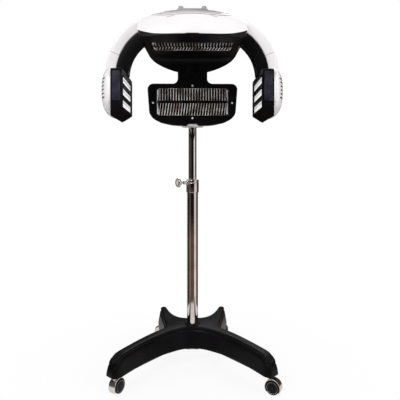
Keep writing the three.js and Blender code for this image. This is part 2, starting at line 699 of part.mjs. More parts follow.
function buildRearLamp(head, hoodBody) {
  const panelBack = PANEL_FRONT_Y + PANEL_T;
  const aperture = prismY(
    roundedRect(MODULE_W, MODULE_H, MODULE_R, 0, MODULE_Z),
    PANEL_FRONT_Y - OVER,
    panelBack + TRAY_DEPTH,
  );
  add(head, 'rear_panel', cut(prismY(panelShape(), PANEL_FRONT_Y, panelBack), aperture), BLACK);

  const heater = new THREE.Group();
  heater.position.set(0, PANEL_FRONT_Y, MODULE_Z);
  heater.rotation.x = Math.PI / 2;
  head.add(heater);
  buildHeater(heater, 'rear', ['rear_element_upper', 'rear_element_lower']);

  const coverFront = panelBack + GAP;
  const coverBack = coverFront + REAR_COVER_T;
  const spine = (inset) =>
    prismZ(
      roundedRect(2 * (SPINE_HALF_W - inset), 2 * (SPINE_BACK_Y - inset), SPINE_R - inset),
      inset,
      UNDERSIDE_Z,
    );
  const ahead = box(-PANEL_HALF_W, PANEL_HALF_W, 2 * PANEL_FRONT_Y, coverFront, -OVER, UNDERSIDE_Z + OVER);
  const outside = cut(join(prismY(panelShape(), coverFront, coverBack), spine(0)), ahead);
  const inside = join(
    prismY(panelShape(-REAR_WALL), coverFront - OVER, coverBack - REAR_WALL),
    spine(REAR_WALL),
  );
  const tubeHole = rodZ(INNER_TUBE_D + 2 * RUN, -OVER, MAST_IN_HEAD);
  const inletBack = coverBack;
  const inletHole = box(
    INLET.x - INLET.w / 2 - GAP,
    INLET.x + INLET.w / 2 + GAP,
    inletBack - REAR_WALL - OVER,
    inletBack + OVER,
    INLET.z - INLET.h / 2 - GAP,
    INLET.z + INLET.h / 2 + GAP,
  );
  add(head, 'rear_cover', cut(outside, inside, tubeHole, inletHole, hoodBody), WHITE);

  const inlet = box(
    INLET.x - INLET.w / 2,
    INLET.x + INLET.w / 2,
    inletBack - INLET.depth,
    inletBack,
    INLET.z - INLET.h / 2,
    INLET.z + INLET.h / 2,
  );
  const pinWell = box(
    INLET.x - INLET.w / 2 + INLET.wall,
    INLET.x + INLET.w / 2 - INLET.wall,
    inletBack - INLET.depth + INLET.wall,
    inletBack + OVER,
    INLET.z - INLET.h / 2 + INLET.wall,
    INLET.z + INLET.h / 2 - INLET.wall,
  );
  add(head, 'power_inlet', cut(inlet, pinWell), BLACK);

  const socketTop = MAST_IN_HEAD + GAP + MAST_SOCKET_CAP;
  const tubeR = INNER_TUBE_D / 2;
  add(head, 'mast_socket', turned([
    [tubeR + RUN, MAST_SOCKET_FOOT],
    [MAST_SOCKET_D / 2, MAST_SOCKET_FOOT],
    [MAST_SOCKET_D / 2, socketTop],
    [0, socketTop],
    [0, MAST_IN_HEAD + GAP],
    [tubeR + RUN, MAST_IN_HEAD + GAP],
  ]), STEEL);

  const plateLow = socketTop + GAP;
  const shelf = UNDERSIDE_Z + GUARD_T + TRAY_DEPTH + 2 * GAP;
  const half = SPINE_PLATE_T / 2;
  const upright = box(-SPINE_PLATE_HALF_W, SPINE_PLATE_HALF_W, -half, half, plateLow, shelf + SPINE_PLATE_T);
  const shelfBar = box(
    -SPINE_PLATE_HALF_W,
    SPINE_PLATE_HALF_W,
    TOP_MODULE_Y - MODULE_H / 4,
    half,
    shelf,
    shelf + SPINE_PLATE_T,
  );
  const foot = box(
    -SPINE_PLATE_HALF_W,
    SPINE_PLATE_HALF_W,
    -SPINE_FOOT_HALF,
    SPINE_FOOT_HALF,
    plateLow,
    plateLow + SPINE_PLATE_T,
  );
  add(head, 'spine_bracket', join(upright, shelfBar, foot), STEEL);
}

// The closed form of the hood with its bowl, shrunk by an inset or grown by a negative one
function hoodForm(inset) {
  const dome = new THREE.SphereGeometry(1, DOME_ROUND, DOME_RISE).rotateX(Math.PI / 2);
  const at = dome.attributes.position;
  for (let i = 0; i < at.count; i += 1) {
    const behind = Math.max(0, at.getY(i));
    const depth = behind > 0 ? HOOD_REAR : HOOD_FRONT;
    const height = at.getZ(i) > 0 ? HOOD_RISE : HOOD_SINK;
    at.setXYZ(
      i,
      at.getX(i) * (HOOD_HALF_W - inset) * (1 - HOOD_TAPER * behind),
      HOOD_MID_Y + at.getY(i) * (depth - inset),
      HOOD_MID_Z + at.getZ(i) * (height - inset),
    );
  }
  const outline = () => {
    const shape = new THREE.Shape();
    const top = HOOD_MID_Z + HOOD_RISE + BEYOND;
    const end = HOOD_END_X - inset;
    const corner = HOOD_CORNER_X - inset;
    const bowlHalf = BOWL_HALF_W - inset;
    const bowlDrop = BOWL_DROP - inset;
    const meet = Math.acos((corner / bowlHalf) ** (BOWL_POWER / 2));
    shape.moveTo(-end, top);
    shape.lineTo(-end, HOOD_END_Z);
    for (let i = 0; i <= BOWL_STEPS; i += 1) {
      const turn = meet + ((Math.PI - 2 * meet) * i) / BOWL_STEPS;
      const across = Math.cos(turn);
      const x = -Math.sign(across) * bowlHalf * Math.abs(across) ** (2 / BOWL_POWER);
      shape.lineTo(x, BOWL_MID_Z - bowlDrop * Math.sin(turn) ** (2 / BOWL_POWER));
    }
    shape.lineTo(end, HOOD_END_Z);
    shape.lineTo(end, top);
    shape.closePath();
    return shape;
  };
  const front = prismY(outline(), HOOD_MID_Y - HOOD_FRONT - BEYOND, BOWL_Y, SMALL_ROUND);
  const rearLength = HOOD_REAR + HOOD_MID_Y - BOWL_Y + BEYOND;
  const rear = prismY(outline(), BOWL_Y, BOWL_Y + rearLength, SMALL_ROUND).warp((point) => {
    point[2] += BOWL_LIFT * (point[1] - BOWL_Y);
  });
  const under = new THREE.Shape();
  const bend = BOWL_BEND - inset;
  const low = HOOD_MID_Z - HOOD_SINK - BEYOND;
  const ahead = HOOD_MID_Y - HOOD_FRONT - BEYOND;
  const floor = UNDERSIDE_Z + inset;
  const wall = BOWL_Y + inset;
  under.moveTo(ahead, low);
  under.lineTo(wall, low);
  under.absarc(wall - bend, floor - bend, bend, 0, Math.PI / 2);
  under.lineTo(ahead, floor);
  under.closePath();
  const below = prismX(under, -HOOD_HALF_W, HOOD_HALF_W);
  return cut(solid(dome).intersect(join(front, rear)), below);
}

// A piece of a ring round an arm's centre, between two radii and two angles
function arc(rIn, rOut, from, to, y0, y1, steps = ARC_STEPS) {
  const shape = new THREE.Shape();
  shape.absarc(ARM_X, ARM_Z, rOut, radians(from), radians(to));
  shape.absarc(ARM_X, ARM_Z, rIn, radians(to), radians(from), true);
  shape.closePath();
  return prismY(shape, y0, y1, steps);
}

const mirrored = (body) => body.scale([-1, 1, 1]);

function buildHood(head) {
  const outside = hoodForm(0);
  const inside = hoodForm(HOOD_WALL);
  const shell = cut(outside, inside);

  const rim = new THREE.Shape();
  const reach = HOOD_END_X + BEYOND;
  const rimAt = (x) => RIM_Z + RIM_RISE * Math.abs(x / HOOD_END_X) ** RIM_POWER;
  rim.moveTo(-reach, 0);
  rim.lineTo(reach, 0);
  for (let i = 0; i <= SMALL_ROUND; i += 1) {
    const x = reach - (2 * reach * i) / SMALL_ROUND;
    rim.lineTo(x, rimAt(x));
  }
  rim.closePath();
  const front = HOOD_MID_Y - HOOD_FRONT - BEYOND;
  const lowerPart = prismY(rim, front, RIM_BACK_Y);
  const lowerTrim = prismY(rim, front, RIM_BACK_Y + GAP);

  const tongueWay = arc(
    TONGUE_R_IN - TONGUE_CLEAR,
    TONGUE_R_OUT + TONGUE_CLEAR,
    TONGUE_START - TONGUE_WAY,
    TONGUE_END + TONGUE_WAY,
    ARM_FRONT_Y + TONGUE_INSET_Y - TONGUE_CLEAR,
    ARM_BACK_Y - TONGUE_INSET_Y + TONGUE_CLEAR,
  );
  const tongueWays = [tongueWay, mirrored(tongueWay)];
  const neckWay = box(
    -SPINE_HALF_W + REAR_WALL,
    SPINE_HALF_W - REAR_WALL,
    RIM_BACK_Y + OVER,
    SPINE_BACK_Y - REAR_WALL,
    NECK_TOP_Z,
    BOWL_MID_Z,
  );
  const panelW = 2 * CONTROL_HALF_W;
  const panelD = CONTROL_BACK_Y - CONTROL_FRONT_Y;
  const panelMid = (CONTROL_BACK_Y + CONTROL_FRONT_Y) / 2;
  const above = HOOD_MID_Z + HOOD_RISE + BEYOND;
  const seat = prismZ(
    roundedRect(panelW + 2 * GAP, panelD + 2 * GAP, CONTROL_R, 0, panelMid),
    CONTROL_Z - GAP,
    above,
  );
  const well = prismZ(
    roundedRect(panelW - 2 * CONTROL_LAP, panelD - 2 * CONTROL_LAP, CONTROL_R, 0, panelMid),
    CONTROL_Z - BOARD_DROP - HOOD_WALL,
    above,
  );
  const deck = prismZ(
    roundedRect(panelW + 2 * CONTROL_DECK, panelD + 2 * CONTROL_DECK, CONTROL_R + CONTROL_DECK, 0, panelMid),
    CONTROL_Z - GAP - HOOD_WALL,
    CONTROL_Z + OVER,
  ).intersect(outside);
  add(head, 'hood_shell', cut(join(cut(shell, lowerTrim), deck), seat, well, neckWay, ...tongueWays), WHITE);

  const tongueOfNeck = box(
    -NECK_HALF_W,
    NECK_HALF_W,
    BOWL_Y,
    BOWL_Y + HOOD_WALL,
    NECK_TOP_Z,
    BOWL_MID_Z - BOWL_DROP + BEYOND,
  );
  const aperture = prismZ(
    roundedRect(MODULE_W, MODULE_H, MODULE_R, 0, TOP_MODULE_Y),
    UNDERSIDE_Z - OVER,
    UNDERSIDE_Z + HOOD_WALL + OVER,
  );
  const lower = join(shell.intersect(lowerPart), tongueOfNeck);
  add(head, 'underside_cover', cut(lower, aperture, ...tongueWays), BLACK);

  const cap = rodY(NECK_CAP_D, BOWL_Y - GAP - NECK_CAP_T, BOWL_Y - GAP);
  const capFace = BOWL_Y - GAP - NECK_CAP_T;
  const dish = rodY(NECK_CAP_D - 2 * NECK_CAP_RIM, capFace - OVER, capFace + NECK_CAP_DISH);
  add(head, 'neck_cap', cut(cap, dish).translate([0, 0, NECK_CAP_Z]), BLACK);

  const heater = new THREE.Group();
  heater.position.set(0, TOP_MODULE_Y, UNDERSIDE_Z);
  heater.rotation.x = Math.PI;
  head.add(heater);
  buildHeater(heater, 'top', ['top_element_front', 'top_element_rear']);

  const guideTop = ARM_Z + TONGUE_R_IN;
  const guideBlock = box(
    GUIDE_X,
    GUIDE_X + GUIDE_W,
    ARM_FRONT_Y + TONGUE_INSET_Y + GUIDE_INSET_Y,
    ARM_BACK_Y - TONGUE_INSET_Y - GUIDE_INSET_Y,
    UNDERSIDE_Z + HOOD_WALL + GAP,
    guideTop,
  );
  const bed = rodY(2 * (TONGUE_R_IN - RUN), ARM_FRONT_Y, ARM_BACK_Y, BED_FACETS).translate([ARM_X, 0, ARM_Z]);
  const guide = guideBlock.intersect(bed).intersect(hoodForm(HOOD_WALL + GAP));
  add(head, 'arm_guide_right', guide, NYLON);
  add(head, 'arm_guide_left', mirrored(guide), NYLON);
}

function buildControls(head) {
  const panelW = 2 * CONTROL_HALF_W;
  const panelD = CONTROL_BACK_Y - CONTROL_FRONT_Y;
  const panelMid = (CONTROL_BACK_Y + CONTROL_FRONT_Y) / 2;
  const top = CONTROL_Z + CONTROL_T;
  const boardTop = CONTROL_Z - BOARD_DROP;
  const boardFront = CONTROL_FRONT_Y + CONTROL_LAP + BOARD_MARGIN;
  const boardBack = CONTROL_BACK_Y - CONTROL_LAP - BOARD_MARGIN;
  const postHalf = BOARD_POST / 2;
  const posts = [];
  for (const x of [-1, 1]) {
    for (const y of [boardFront + BOARD_POST, boardBack - BOARD_POST]) {
      const mid = x * (BOARD_HALF_W - BOARD_POST);
      const post = box(-postHalf, postHalf, -postHalf, postHalf, boardTop + GAP, CONTROL_Z + OVER);
      posts.push(post.translate([mid, y, 0]));
    }
  }
  const plate = prismZ(roundedRect(panelW, panelD, CONTROL_R, 0, panelMid), CONTROL_Z, top);
  const shaftHole = rodZ(DIAL_SHAFT_D + 2 * RUN, CONTROL_Z - OVER, top + OVER, SMALL_ROUND);
  const switchHole = box(
    SWITCH.x - SWITCH.w / 2 - RUN,
    SWITCH.x + SWITCH.w / 2 + RUN,
    SWITCH.y - SWITCH.d / 2 - SWITCH.clear,
    SWITCH.y + SWITCH.d / 2 + SWITCH.clear,
    CONTROL_Z - OVER,
    top + OVER,
  );
  const buttonHole = rodZ(BUTTON.d + 2 * RUN, CONTROL_Z - OVER, top + OVER)
    .translate([BUTTON.x, BUTTON.y, 0]);
  add(head, 'control_panel', cut(
    join(plate, ...posts),
    shaftHole.translate([-DIAL_X, DIAL_Y, 0]),
    shaftHole.translate([DIAL_X, DIAL_Y, 0]),
    switchHole,
    buttonHole,
  ), GREY);
  const board = box(-BOARD_HALF_W, BOARD_HALF_W, boardFront, boardBack, boardTop - BOARD_T, boardTop);
  add(head, 'control_board', board, BOARD);

  const pane = roundedRect(WINDOW.w, WINDOW.d, WINDOW.r, 0, WINDOW.y);
  const glass = prismZ(pane, top + GAP, top + GAP + WINDOW.t);
  add(head, 'display_window', glass, GLASS);

  const dialR = DIAL_D / 2;
  const dial = join(
    turned([
      [0, top + GAP],
      [dialR, top + GAP],
      [dialR - DIAL_DRAFT, top + GAP + DIAL_H - DIAL_CHAMFER],
      [dialR - DIAL_DRAFT - DIAL_CHAMFER, top + GAP + DIAL_H],
      [0, top + GAP + DIAL_H],
    ]),
    rodZ(DIAL_SHAFT_D, top - DIAL_SHAFT_L, top + OVER, SMALL_ROUND),
  );
  add(head, 'timer_knob', dial.translate([-DIAL_X, DIAL_Y, 0]), GREY);
  add(head, 'heat_knob', dial.translate([DIAL_X, DIAL_Y, 0]), GREY);

  const rocker = box(-SWITCH.w / 2, SWITCH.w / 2, -SWITCH.d / 2, SWITCH.d / 2, -SWITCH.h / 2, SWITCH.h / 2);
  add(head, 'power_switch', rocker.rotate([-SWITCH.tilt, 0, 0]).translate([SWITCH.x, SWITCH.y, top]), BLACK);
  const button = rodZ(BUTTON.d, top + BUTTON.lift - BUTTON.h, top + BUTTON.lift);
  add(head, 'start_button', button.translate([BUTTON.x, BUTTON.y, 0]), GREY);
}

// A pillow: a ball whose points are drawn out towards the corners of its box
function pillow(halfX, halfY, halfZ, power) {
  const ball = new THREE.SphereGeometry(1, PILLOW_ROUND, PILLOW_RISE);
  const at = ball.attributes.position;
  for (let i = 0; i < at.count; i += 1) {
    const parts = [at.getX(i), at.getY(i), at.getZ(i)];
    const size = parts.reduce((sum, v) => sum + Math.abs(v) ** power, 0) ** (1 / power);
    at.setXYZ(i, (parts[0] / size) * halfX, (parts[1] / size) * halfY, (parts[2] / size) * halfZ);
  }
  return solid(ball);
}

// One side arm with its lamp, described on the right and mirrored for the left
function buildArm(head, side, label, hoodClear) {
  const arm = new THREE.Group();
  arm.scale.x = side;
  head.add(arm);

  const wallY0 = ARM_FRONT_Y + ARM_WALL;
  const wallY1 = ARM_BACK_Y - ARM_WALL;
  const aboveLamp = box(0, 2 * ARM_R_OUT + ARM_X, 2 * ARM_FRONT_Y, 0, LAMP_TOP_Z + GAP, 2 * UNDERSIDE_Z);
  const coreOutside = arc(ARM_R_IN, ARM_R_MID, 0, ARM_END, ARM_FRONT_Y, ARM_BACK_Y);
  const coreInside = arc(ARM_R_IN + ARM_WALL, ARM_R_OUT, CORE_START, CORE_END, wallY0, wallY1);
  const tongue = arc(
    TONGUE_R_IN,
    TONGUE_R_OUT,
    TONGUE_START,
    TONGUE_END,
    ARM_FRONT_Y + TONGUE_INSET_Y,
    ARM_BACK_Y - TONGUE_INSET_Y,
  );
  const core = join(cut(coreOutside, coreInside, hoodClear), tongue).intersect(aboveLamp);
  add(arm, `arm_core_${label}`, core, BLACK);

  const channel = (from, to) =>
    cut(
      arc(ARM_R_MID + GAP, ARM_R_OUT, from, to, ARM_FRONT_Y, ARM_BACK_Y),
      arc(ARM_R_IN, ARM_R_OUT - ARM_WALL, from - OVER, to + OVER, wallY0, wallY1),
    );
  const seam = THREE.MathUtils.radToDeg(GAP / ARM_R_MID);
  add(arm, `arm_cover_${label}`, cut(channel(SEAM_ANGLE + seam, ARM_END), hoodClear), WHITE);

  const lampOut = LAMP_X + LAMP_T;
  const lampMidY = (LAMP_FRONT_Y + LAMP_BACK_Y) / 2;
  const lampL = LAMP_BACK_Y - LAMP_FRONT_Y;
  const lampLow = LAMP_BOTTOM_Z - LAMP_BOTTOM_FALL;
  const section = (inset) =>
    prismY(polygon([
      [LAMP_X, LAMP_BOTTOM_Z + inset],
      [lampOut + OVER, lampLow + inset],
      [lampOut + OVER, LAMP_TOP_Z - inset],
      [LAMP_X, LAMP_TOP_Z - inset],
    ]), LAMP_FRONT_Y, LAMP_BACK_Y);
  const face = (inset) => {
    const height = LAMP_TOP_Z - lampLow - 2 * inset;
    const mid = (LAMP_TOP_Z + lampLow) / 2;
    return roundedRect(lampL - 2 * inset, height, LAMP_R - inset / 2, lampMidY, mid);
  };
  const body = prismX(face(0), LAMP_X, lampOut).intersect(section(0));
  const pocket = prismX(face(LAMP_WALL), LAMP_X + LAMP_WALL, lampOut + OVER).intersect(section(LAMP_WALL));
  const rows = [-1, 0, 1].map((row) => WINDOW_MID_Z + row * WINDOW_PITCH);
  const windowFront = lampMidY - WINDOW_L / 2;
  const windowBack = lampMidY + WINDOW_L / 2;
  const behindFace = LAMP_X + LAMP_WALL + OVER;
  const windows = rows.map((z) =>
    box(LAMP_X - OVER, behindFace, windowFront, windowBack, z - WINDOW_H / 2, z + WINDOW_H / 2));
  add(arm, `lamp_box_${label}`, cut(body, pocket, ...windows), BLACK);

  const trayFace = LAMP_X + LAMP_WALL + GAP;
  const trayFit = LAMP_WALL + GAP;
  const tray = prismX(face(trayFit), trayFace, trayFace + LAMP_TRAY_T).intersect(section(trayFit));
  const trayEnd = lampL / 2 - trayFit - LAMP_TRAY_END;
  const troughHalf = WINDOW_PITCH / 2 - TROUGH_LAND;
  const trough = (grow) => {
    const end = trayEnd + grow;
    const hollow = rodY(UNIT_D, -end, end, SMALL_ROUND).scale([LAMP_TROUGH + grow, 1, troughHalf + grow]);
    return rows.map((z) => hollow.translate([trayFace, lampMidY, z]));
  };
  const behindFit = trayFit + TRAY_SHEET;
  const behind = prismX(face(behindFit), trayFace + TRAY_SHEET, trayFace + LAMP_TRAY_T + OVER)
    .intersect(section(behindFit));
  add(arm, `lamp_reflector_${label}`, cut(tray, ...trough(0), cut(behind, ...trough(TRAY_SHEET))), MIRROR);
  const places = ['lower', 'middle', 'upper'];
  rows.forEach((z, i) => {
    const lampTube = rodY(TUBE_D, GAP - trayEnd, trayEnd - GAP, SMALL_ROUND);
    const depth = trayFace + TUBE_D / 2 + TUBE_SINK;
    add(arm, `lamp_tube_${places[i]}_${label}`, lampTube.translate([depth, lampMidY, z]), QUARTZ);
  });

  const shellFace = lampOut + GAP;
  const shellMidZ = (SHELL_TOP_Z + SHELL_BOTTOM_Z) / 2;
  const shellHalfZ = (SHELL_TOP_Z - SHELL_BOTTOM_Z) / 2;
  const bulge = (inset) =>
    pillow(SHELL_BULGE - inset, lampL / 2 - inset, shellHalfZ - inset, SHELL_POWER)
      .translate([shellFace, lampMidY, shellMidZ]);
  const outer = box(shellFace, 2 * lampOut, LAMP_FRONT_Y, LAMP_BACK_Y, -HEAD_Z, 2 * UNDERSIDE_Z);
  const bowl = cut(bulge(0).intersect(outer), bulge(ARM_WALL));
  const sleeve = cut(channel(0, SEAM_ANGLE), bulge(ARM_WALL));
  const vents = Array.from({ length: VENTS }, (_, i) => {
    const z = VENT_LOW_Z + i * VENT_PITCH;
    return box(
      shellFace + SHELL_BULGE / 2,
      2 * lampOut,
      lampMidY - VENT_L / 2,
      lampMidY + VENT_L / 2,
      z - VENT_H / 2,
      z + VENT_H / 2,
    );
  });
  const coreClear = arc(
    0,
    ARM_R_MID + GAP,
    -ARM_END,
    ARM_END,
    ARM_FRONT_Y - OVER,
    ARM_BACK_Y + OVER,
    2 * ARC_STEPS,
  );
  const shell = cut(join(bowl, sleeve), coreClear.intersect(aboveLamp), ...vents);
  add(arm, `lamp_shell_${label}`, shell, WHITE);
}

buildBase();
for (const [row, tip, yaw] of [['front', FRONT_TIP, FRONT_YAW], ['rear', REAR_TIP, REAR_YAW]]) {
  buildCaster(`${row}_left`, -tip.x, tip.y, yaw.left);
  buildCaster(`${row}_right`, tip.x, tip.y, yaw.right);
}
buildMast();

const head = new THREE.Group();
head.position.z = HEAD_Z;
processor.add(head);
buildHood(head);
buildRearLamp(head, hoodForm(-GAP));
buildControls(head);
const hoodClear = hoodForm(-ARM_CLEAR);
buildArm(head, 1, 'right', hoodClear);
buildArm(head, -1, 'left', mirrored(hoodClear));

// Stand the mast so that the whole object is centred over the origin, front to back
const reach = new THREE.Box3().setFromObject(processor, true);
processor.position.y = -(reach.min.y + reach.max.y) / 2;

export default processor;
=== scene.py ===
"""Salon hair color processor: the looks of its pieces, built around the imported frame."""
import math

import bmesh
import bpy
import numpy as np
from bpy.props import FloatProperty, FloatVectorProperty, IntProperty, PointerProperty
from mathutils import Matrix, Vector


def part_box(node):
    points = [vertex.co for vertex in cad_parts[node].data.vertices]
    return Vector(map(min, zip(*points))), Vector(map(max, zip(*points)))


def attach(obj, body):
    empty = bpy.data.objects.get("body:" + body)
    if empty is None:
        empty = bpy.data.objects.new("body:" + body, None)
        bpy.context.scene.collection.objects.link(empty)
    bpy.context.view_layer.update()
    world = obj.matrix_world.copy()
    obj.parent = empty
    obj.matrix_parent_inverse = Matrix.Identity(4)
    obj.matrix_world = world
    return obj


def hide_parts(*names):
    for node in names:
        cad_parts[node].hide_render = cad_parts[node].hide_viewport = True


bl_info = {
    "name": "Salon hair color processor",
    "version": (1, 0, 0),
    "blender": (4, 5, 0),
    "location": "View3D > Sidebar > Processor",
    "description": "Builds a heat hood with side lamps on a castered mast",
    "category": "Object",
}

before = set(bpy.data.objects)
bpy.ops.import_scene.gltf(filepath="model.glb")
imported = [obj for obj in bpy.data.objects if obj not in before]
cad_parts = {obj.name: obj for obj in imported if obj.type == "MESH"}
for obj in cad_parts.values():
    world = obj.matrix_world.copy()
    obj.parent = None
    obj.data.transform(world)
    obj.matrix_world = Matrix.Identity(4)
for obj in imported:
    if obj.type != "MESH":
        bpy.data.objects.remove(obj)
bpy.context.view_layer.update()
MM = 0.001
MAST_Y = sum(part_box("outer_tube")[i].y for i in (0, 1)) / 2
HEAD_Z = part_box("rear_panel")[0].z
SIDES = (("left", -1), ("right", 1))
FULL = 2 * math.pi


# Shapes: every function gives a grid of points, rows by columns, in millimetres

CORNER_REACH = 1.2  # how far a corner's curve runs along its edges, in radii
MOST_REACH = 0.48  # share of an edge that a corner's curve may take
OFF_AXIS = (0.31, 0.77, 0.55)  # a direction that no wire runs along
TINY = 1e-9


def unit(vectors):
    """Vectors divided by their length."""
    return vectors / np.linalg.norm(vectors, axis=-1, keepdims=True)


def circle(radius, sides):
    """Points round a circle: (r cos a, r sin a)."""
    turn = np.linspace(0, FULL, sides, endpoint=False)
    return radius * np.column_stack([np.cos(turn), np.sin(turn)])


def arc(middle, radius, start, end, steps):
    """Points on a circle about a middle, from one angle to another in degrees."""
    turn = np.radians(np.linspace(start, end, steps))
    return np.array(middle) + radius * np.column_stack([np.cos(turn), np.sin(turn)])


def parabola(a, b, c, steps):
    """From a to c, drawn towards b: (1-t)^2 a + 2t(1-t) b + t^2 c."""
    t = np.linspace(0, 1, steps)[:, None]
    return (1 - t) ** 2 * np.asarray(a) + 2 * t * (1 - t) * np.asarray(b) + t ** 2 * np.asarray(c)


def mirrored(half):
    """A half outline and its mirror image, with the two points on the axis kept once."""
    return np.concatenate([half, (half[1:-1] * [-1, 1])[::-1]])


def soften(corners, radius, steps=6, closed=False):
    """Each corner p becomes a parabola between points a and b on its two edges:
    (1-t)^2 a + 2t(1-t) p + t^2 b."""
    p = np.asarray(corners, float)
    before, after = np.roll(p, 1, 0) - p, np.roll(p, -1, 0) - p
    long_a = np.linalg.norm(before, axis=1, keepdims=True) + TINY
    long_b = np.linalg.norm(after, axis=1, keepdims=True) + TINY
    reach = np.minimum(np.broadcast_to(np.asarray(radius, float).reshape(-1, 1), long_a.shape),
                       MOST_REACH * np.minimum(long_a, long_b))
    a, b = p + before / long_a * reach, p + after / long_b * reach
    t = np.linspace(0, 1, steps)[:, None, None]
    curve = ((1 - t) ** 2 * a + 2 * t * (1 - t) * p + t ** 2 * b).transpose(1, 0, 2)
    if closed:
        return curve.reshape(-1, p.shape[1])
    return np.concatenate([p[:1], curve[1:-1].reshape(-1, p.shape[1]), p[-1:]])


def turned(profile, count=64, start=0.0, sweep=FULL):
    """A profile (radius, height) turned about Z: (r cos a, r sin a, h)."""
    whole = abs(sweep - FULL) < 1e-6
    a = start + np.linspace(0, sweep, count, endpoint=not whole)
    p = np.asarray(profile, float)
    flat = np.ones_like(a)
    return np.stack([p[:, :1] * np.cos(a), p[:, :1] * np.sin(a), p[:, 1:2] * flat], -1)


def offset(outline, distance):
    """Outline points moved out by a distance along the normal of the chord between their neighbours."""
    along = np.roll(outline, -1, 0) - np.roll(outline, 1, 0)
    along = along / (np.linalg.norm(along, axis=1, keepdims=True) + TINY)
    return outline + distance * np.stack([along[:, 1], -along[:, 0]], -1)


def stacked(outline, profile):
    """Rings of an outline, each moved out by a distance and lifted to a height: profile of (out, height)."""
    return np.stack([np.column_stack([offset(outline, d), np.full(len(outline), h)]) for d, h in profile])


def swept(path, across, up, section):
    """A section (a, b) carried along a path: point + a * across + b * up, with unit vectors at each point."""
    s = np.asarray(section, float)
    return path[:, None] + s[None, :, :1] * across[:, None] + s[None, :, 1:2] * up[:, None]


def wire(start, end, radius, sides):
    """A straight round wire between two points: rings of radius r about the line."""
    path = np.array([start, end], float)
    line = unit(path[1] - path[0])
    side = unit(np.cross(line, OFF_AXIS))
    return swept(path, np.tile(side, (2, 1)), np.tile(np.cross(line, side), (2, 1)), circle(radius, sides))


def rounded_rect(width, height, radius):
    """A rectangle with rounded corners, anticlockwise from the lower right."""
    corners = np.array([[1, -1], [1, 1], [-1, 1], [-1, -1]]) * [width / 2, height / 2]
    return soften(corners, CORNER_REACH * radius, 8, closed=True)


def soft_rect_reach(angle, half_w, half_h, power=26):
    """Distance from the middle to a rounded rectangle at an angle: (|cos/a|^p + |sin/b|^p)^(-1/p)."""
    return (np.abs(np.cos(angle) / half_w) ** power + np.abs(np.sin(angle) / half_h) ** power) ** (-1 / power)


# Places

def at_head(points):
    """Millimetres from the mast axis and the head's lower edge, to metres in the frame."""
    return points * MM + [0, MAST_Y, HEAD_Z]


def at_base(points):
    """Millimetres from the mast axis and the floor, to metres in the frame."""
    return points * MM + [0, MAST_Y, 0]


def laid(points, x, y, z):
    """Local axes laid along three given directions."""
    return points @ np.array([x, y, z], float)


FRONT_VIEW = ((1, 0, 0), (0, 0, 1), (0, -1, 0))
ALONG_X = ((0, 1, 0), (0, 0, 1), (1, 0, 0))


# Meshes

def sheet_of(points, wrap=True, caps=()):
    """A grid and how it closes: wrap joins the last column to the first, caps names rows to fill."""
    return {"points": points, "wrap": wrap, "caps": caps}


def quads_of(rows, cols, wrap, start):
    """Indices of the four corners of every cell of a grid."""
    r, c = np.meshgrid(np.arange(rows - 1), np.arange(cols if wrap else cols - 1), indexing="ij")
    after = (c + 1) % cols
    cells = np.stack([r * cols + c, r * cols + after, (r + 1) * cols + after, (r + 1) * cols + c], -1)
    return (start + cells.reshape(-1, 4)).tolist()


def in_scene(name, data):
    """A new object in the scene."""
    obj = bpy.data.objects.new(name, data)
    bpy.context.scene.collection.objects.link(obj)
    return obj


MERGE, SLIVER, COPY_MERGE = 2e-6, 1e-7, 1e-5  # metres
FLAT, BEVEL_FROM = 0.6, 40  # degrees
BEVEL_STEPS = 3


def painted(mesh, name, finish_name, sharp):
    """An object in the scene with one finish, smooth but for the edges that are sharper than an angle."""
    mesh.shade_smooth()
    mesh.set_sharp_from_angle(angle=math.radians(sharp))
    mesh.materials.clear()
    mesh.materials.append(FINISHES[finish_name])
    return in_scene(name, mesh)


def bevelled(obj, width, angle):
    """Rounds the edges that are sharper than an angle."""
    edge = obj.modifiers.new("Edges", "BEVEL")
    edge.width = width * MM
    edge.segments = BEVEL_STEPS
    edge.limit_method = "ANGLE"
    edge.angle_limit = math.radians(angle)
    edge.harden_normals = True


def piece(name, sheets, finish_name, body, replaces=(), sharp=38, wall=0, bevel=0):
    """Joins the grids into one mesh, merges doubles, turns faces outwards and puts it on its body."""
    points, faces, start = [], [], 0
    for item in sheets:
        grid = item["points"]
        rows, cols = grid.shape[:2]
        points.append(grid.reshape(-1, 3))
        faces += quads_of(rows, cols, item["wrap"], start)
        faces += [(start + (row % rows) * cols + np.arange(cols)).tolist() for row in item["caps"]]
        start += rows * cols
    mesh = bpy.data.meshes.new(name)
    mesh.from_pydata(np.concatenate(points).tolist(), [], faces)
    work = bmesh.new()
    work.from_mesh(mesh)
    bmesh.ops.remove_doubles(work, verts=work.verts, dist=MERGE)
    bmesh.ops.dissolve_degenerate(work, edges=work.edges, dist=SLIVER)
    bmesh.ops.recalc_face_normals(work, faces=work.faces)
    work.to_mesh(mesh)
    work.free()
    obj = painted(mesh, name, finish_name, sharp)
    if wall:
        solidify = obj.modifiers.new("Wall", "SOLIDIFY")
        solidify.thickness = wall * MM
        solidify.offset = -1
    if bevel:
        bevelled(obj, bevel, BEVEL_FROM)
    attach(obj, body)
    if replaces:
        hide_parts(*replaces)


def copied(node, name, finish_name, body, bevel, sharp=32):
    """A copy of a frame node, its corners merged and its edges rounded."""
    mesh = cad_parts[node].data.copy()
    mesh.name = name
    work = bmesh.new()
    work.from_mesh(mesh)
    bmesh.ops.remove_doubles(work, verts=work.verts, dist=COPY_MERGE)
    bmesh.ops.dissolve_limit(work, angle_limit=math.radians(FLAT), verts=work.verts, edges=work.edges)
    work.to_mesh(mesh)
    work.free()
    obj = painted(mesh, name, finish_name, sharp)
    bevelled(obj, bevel, sharp)
    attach(obj, body)
    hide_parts(node)


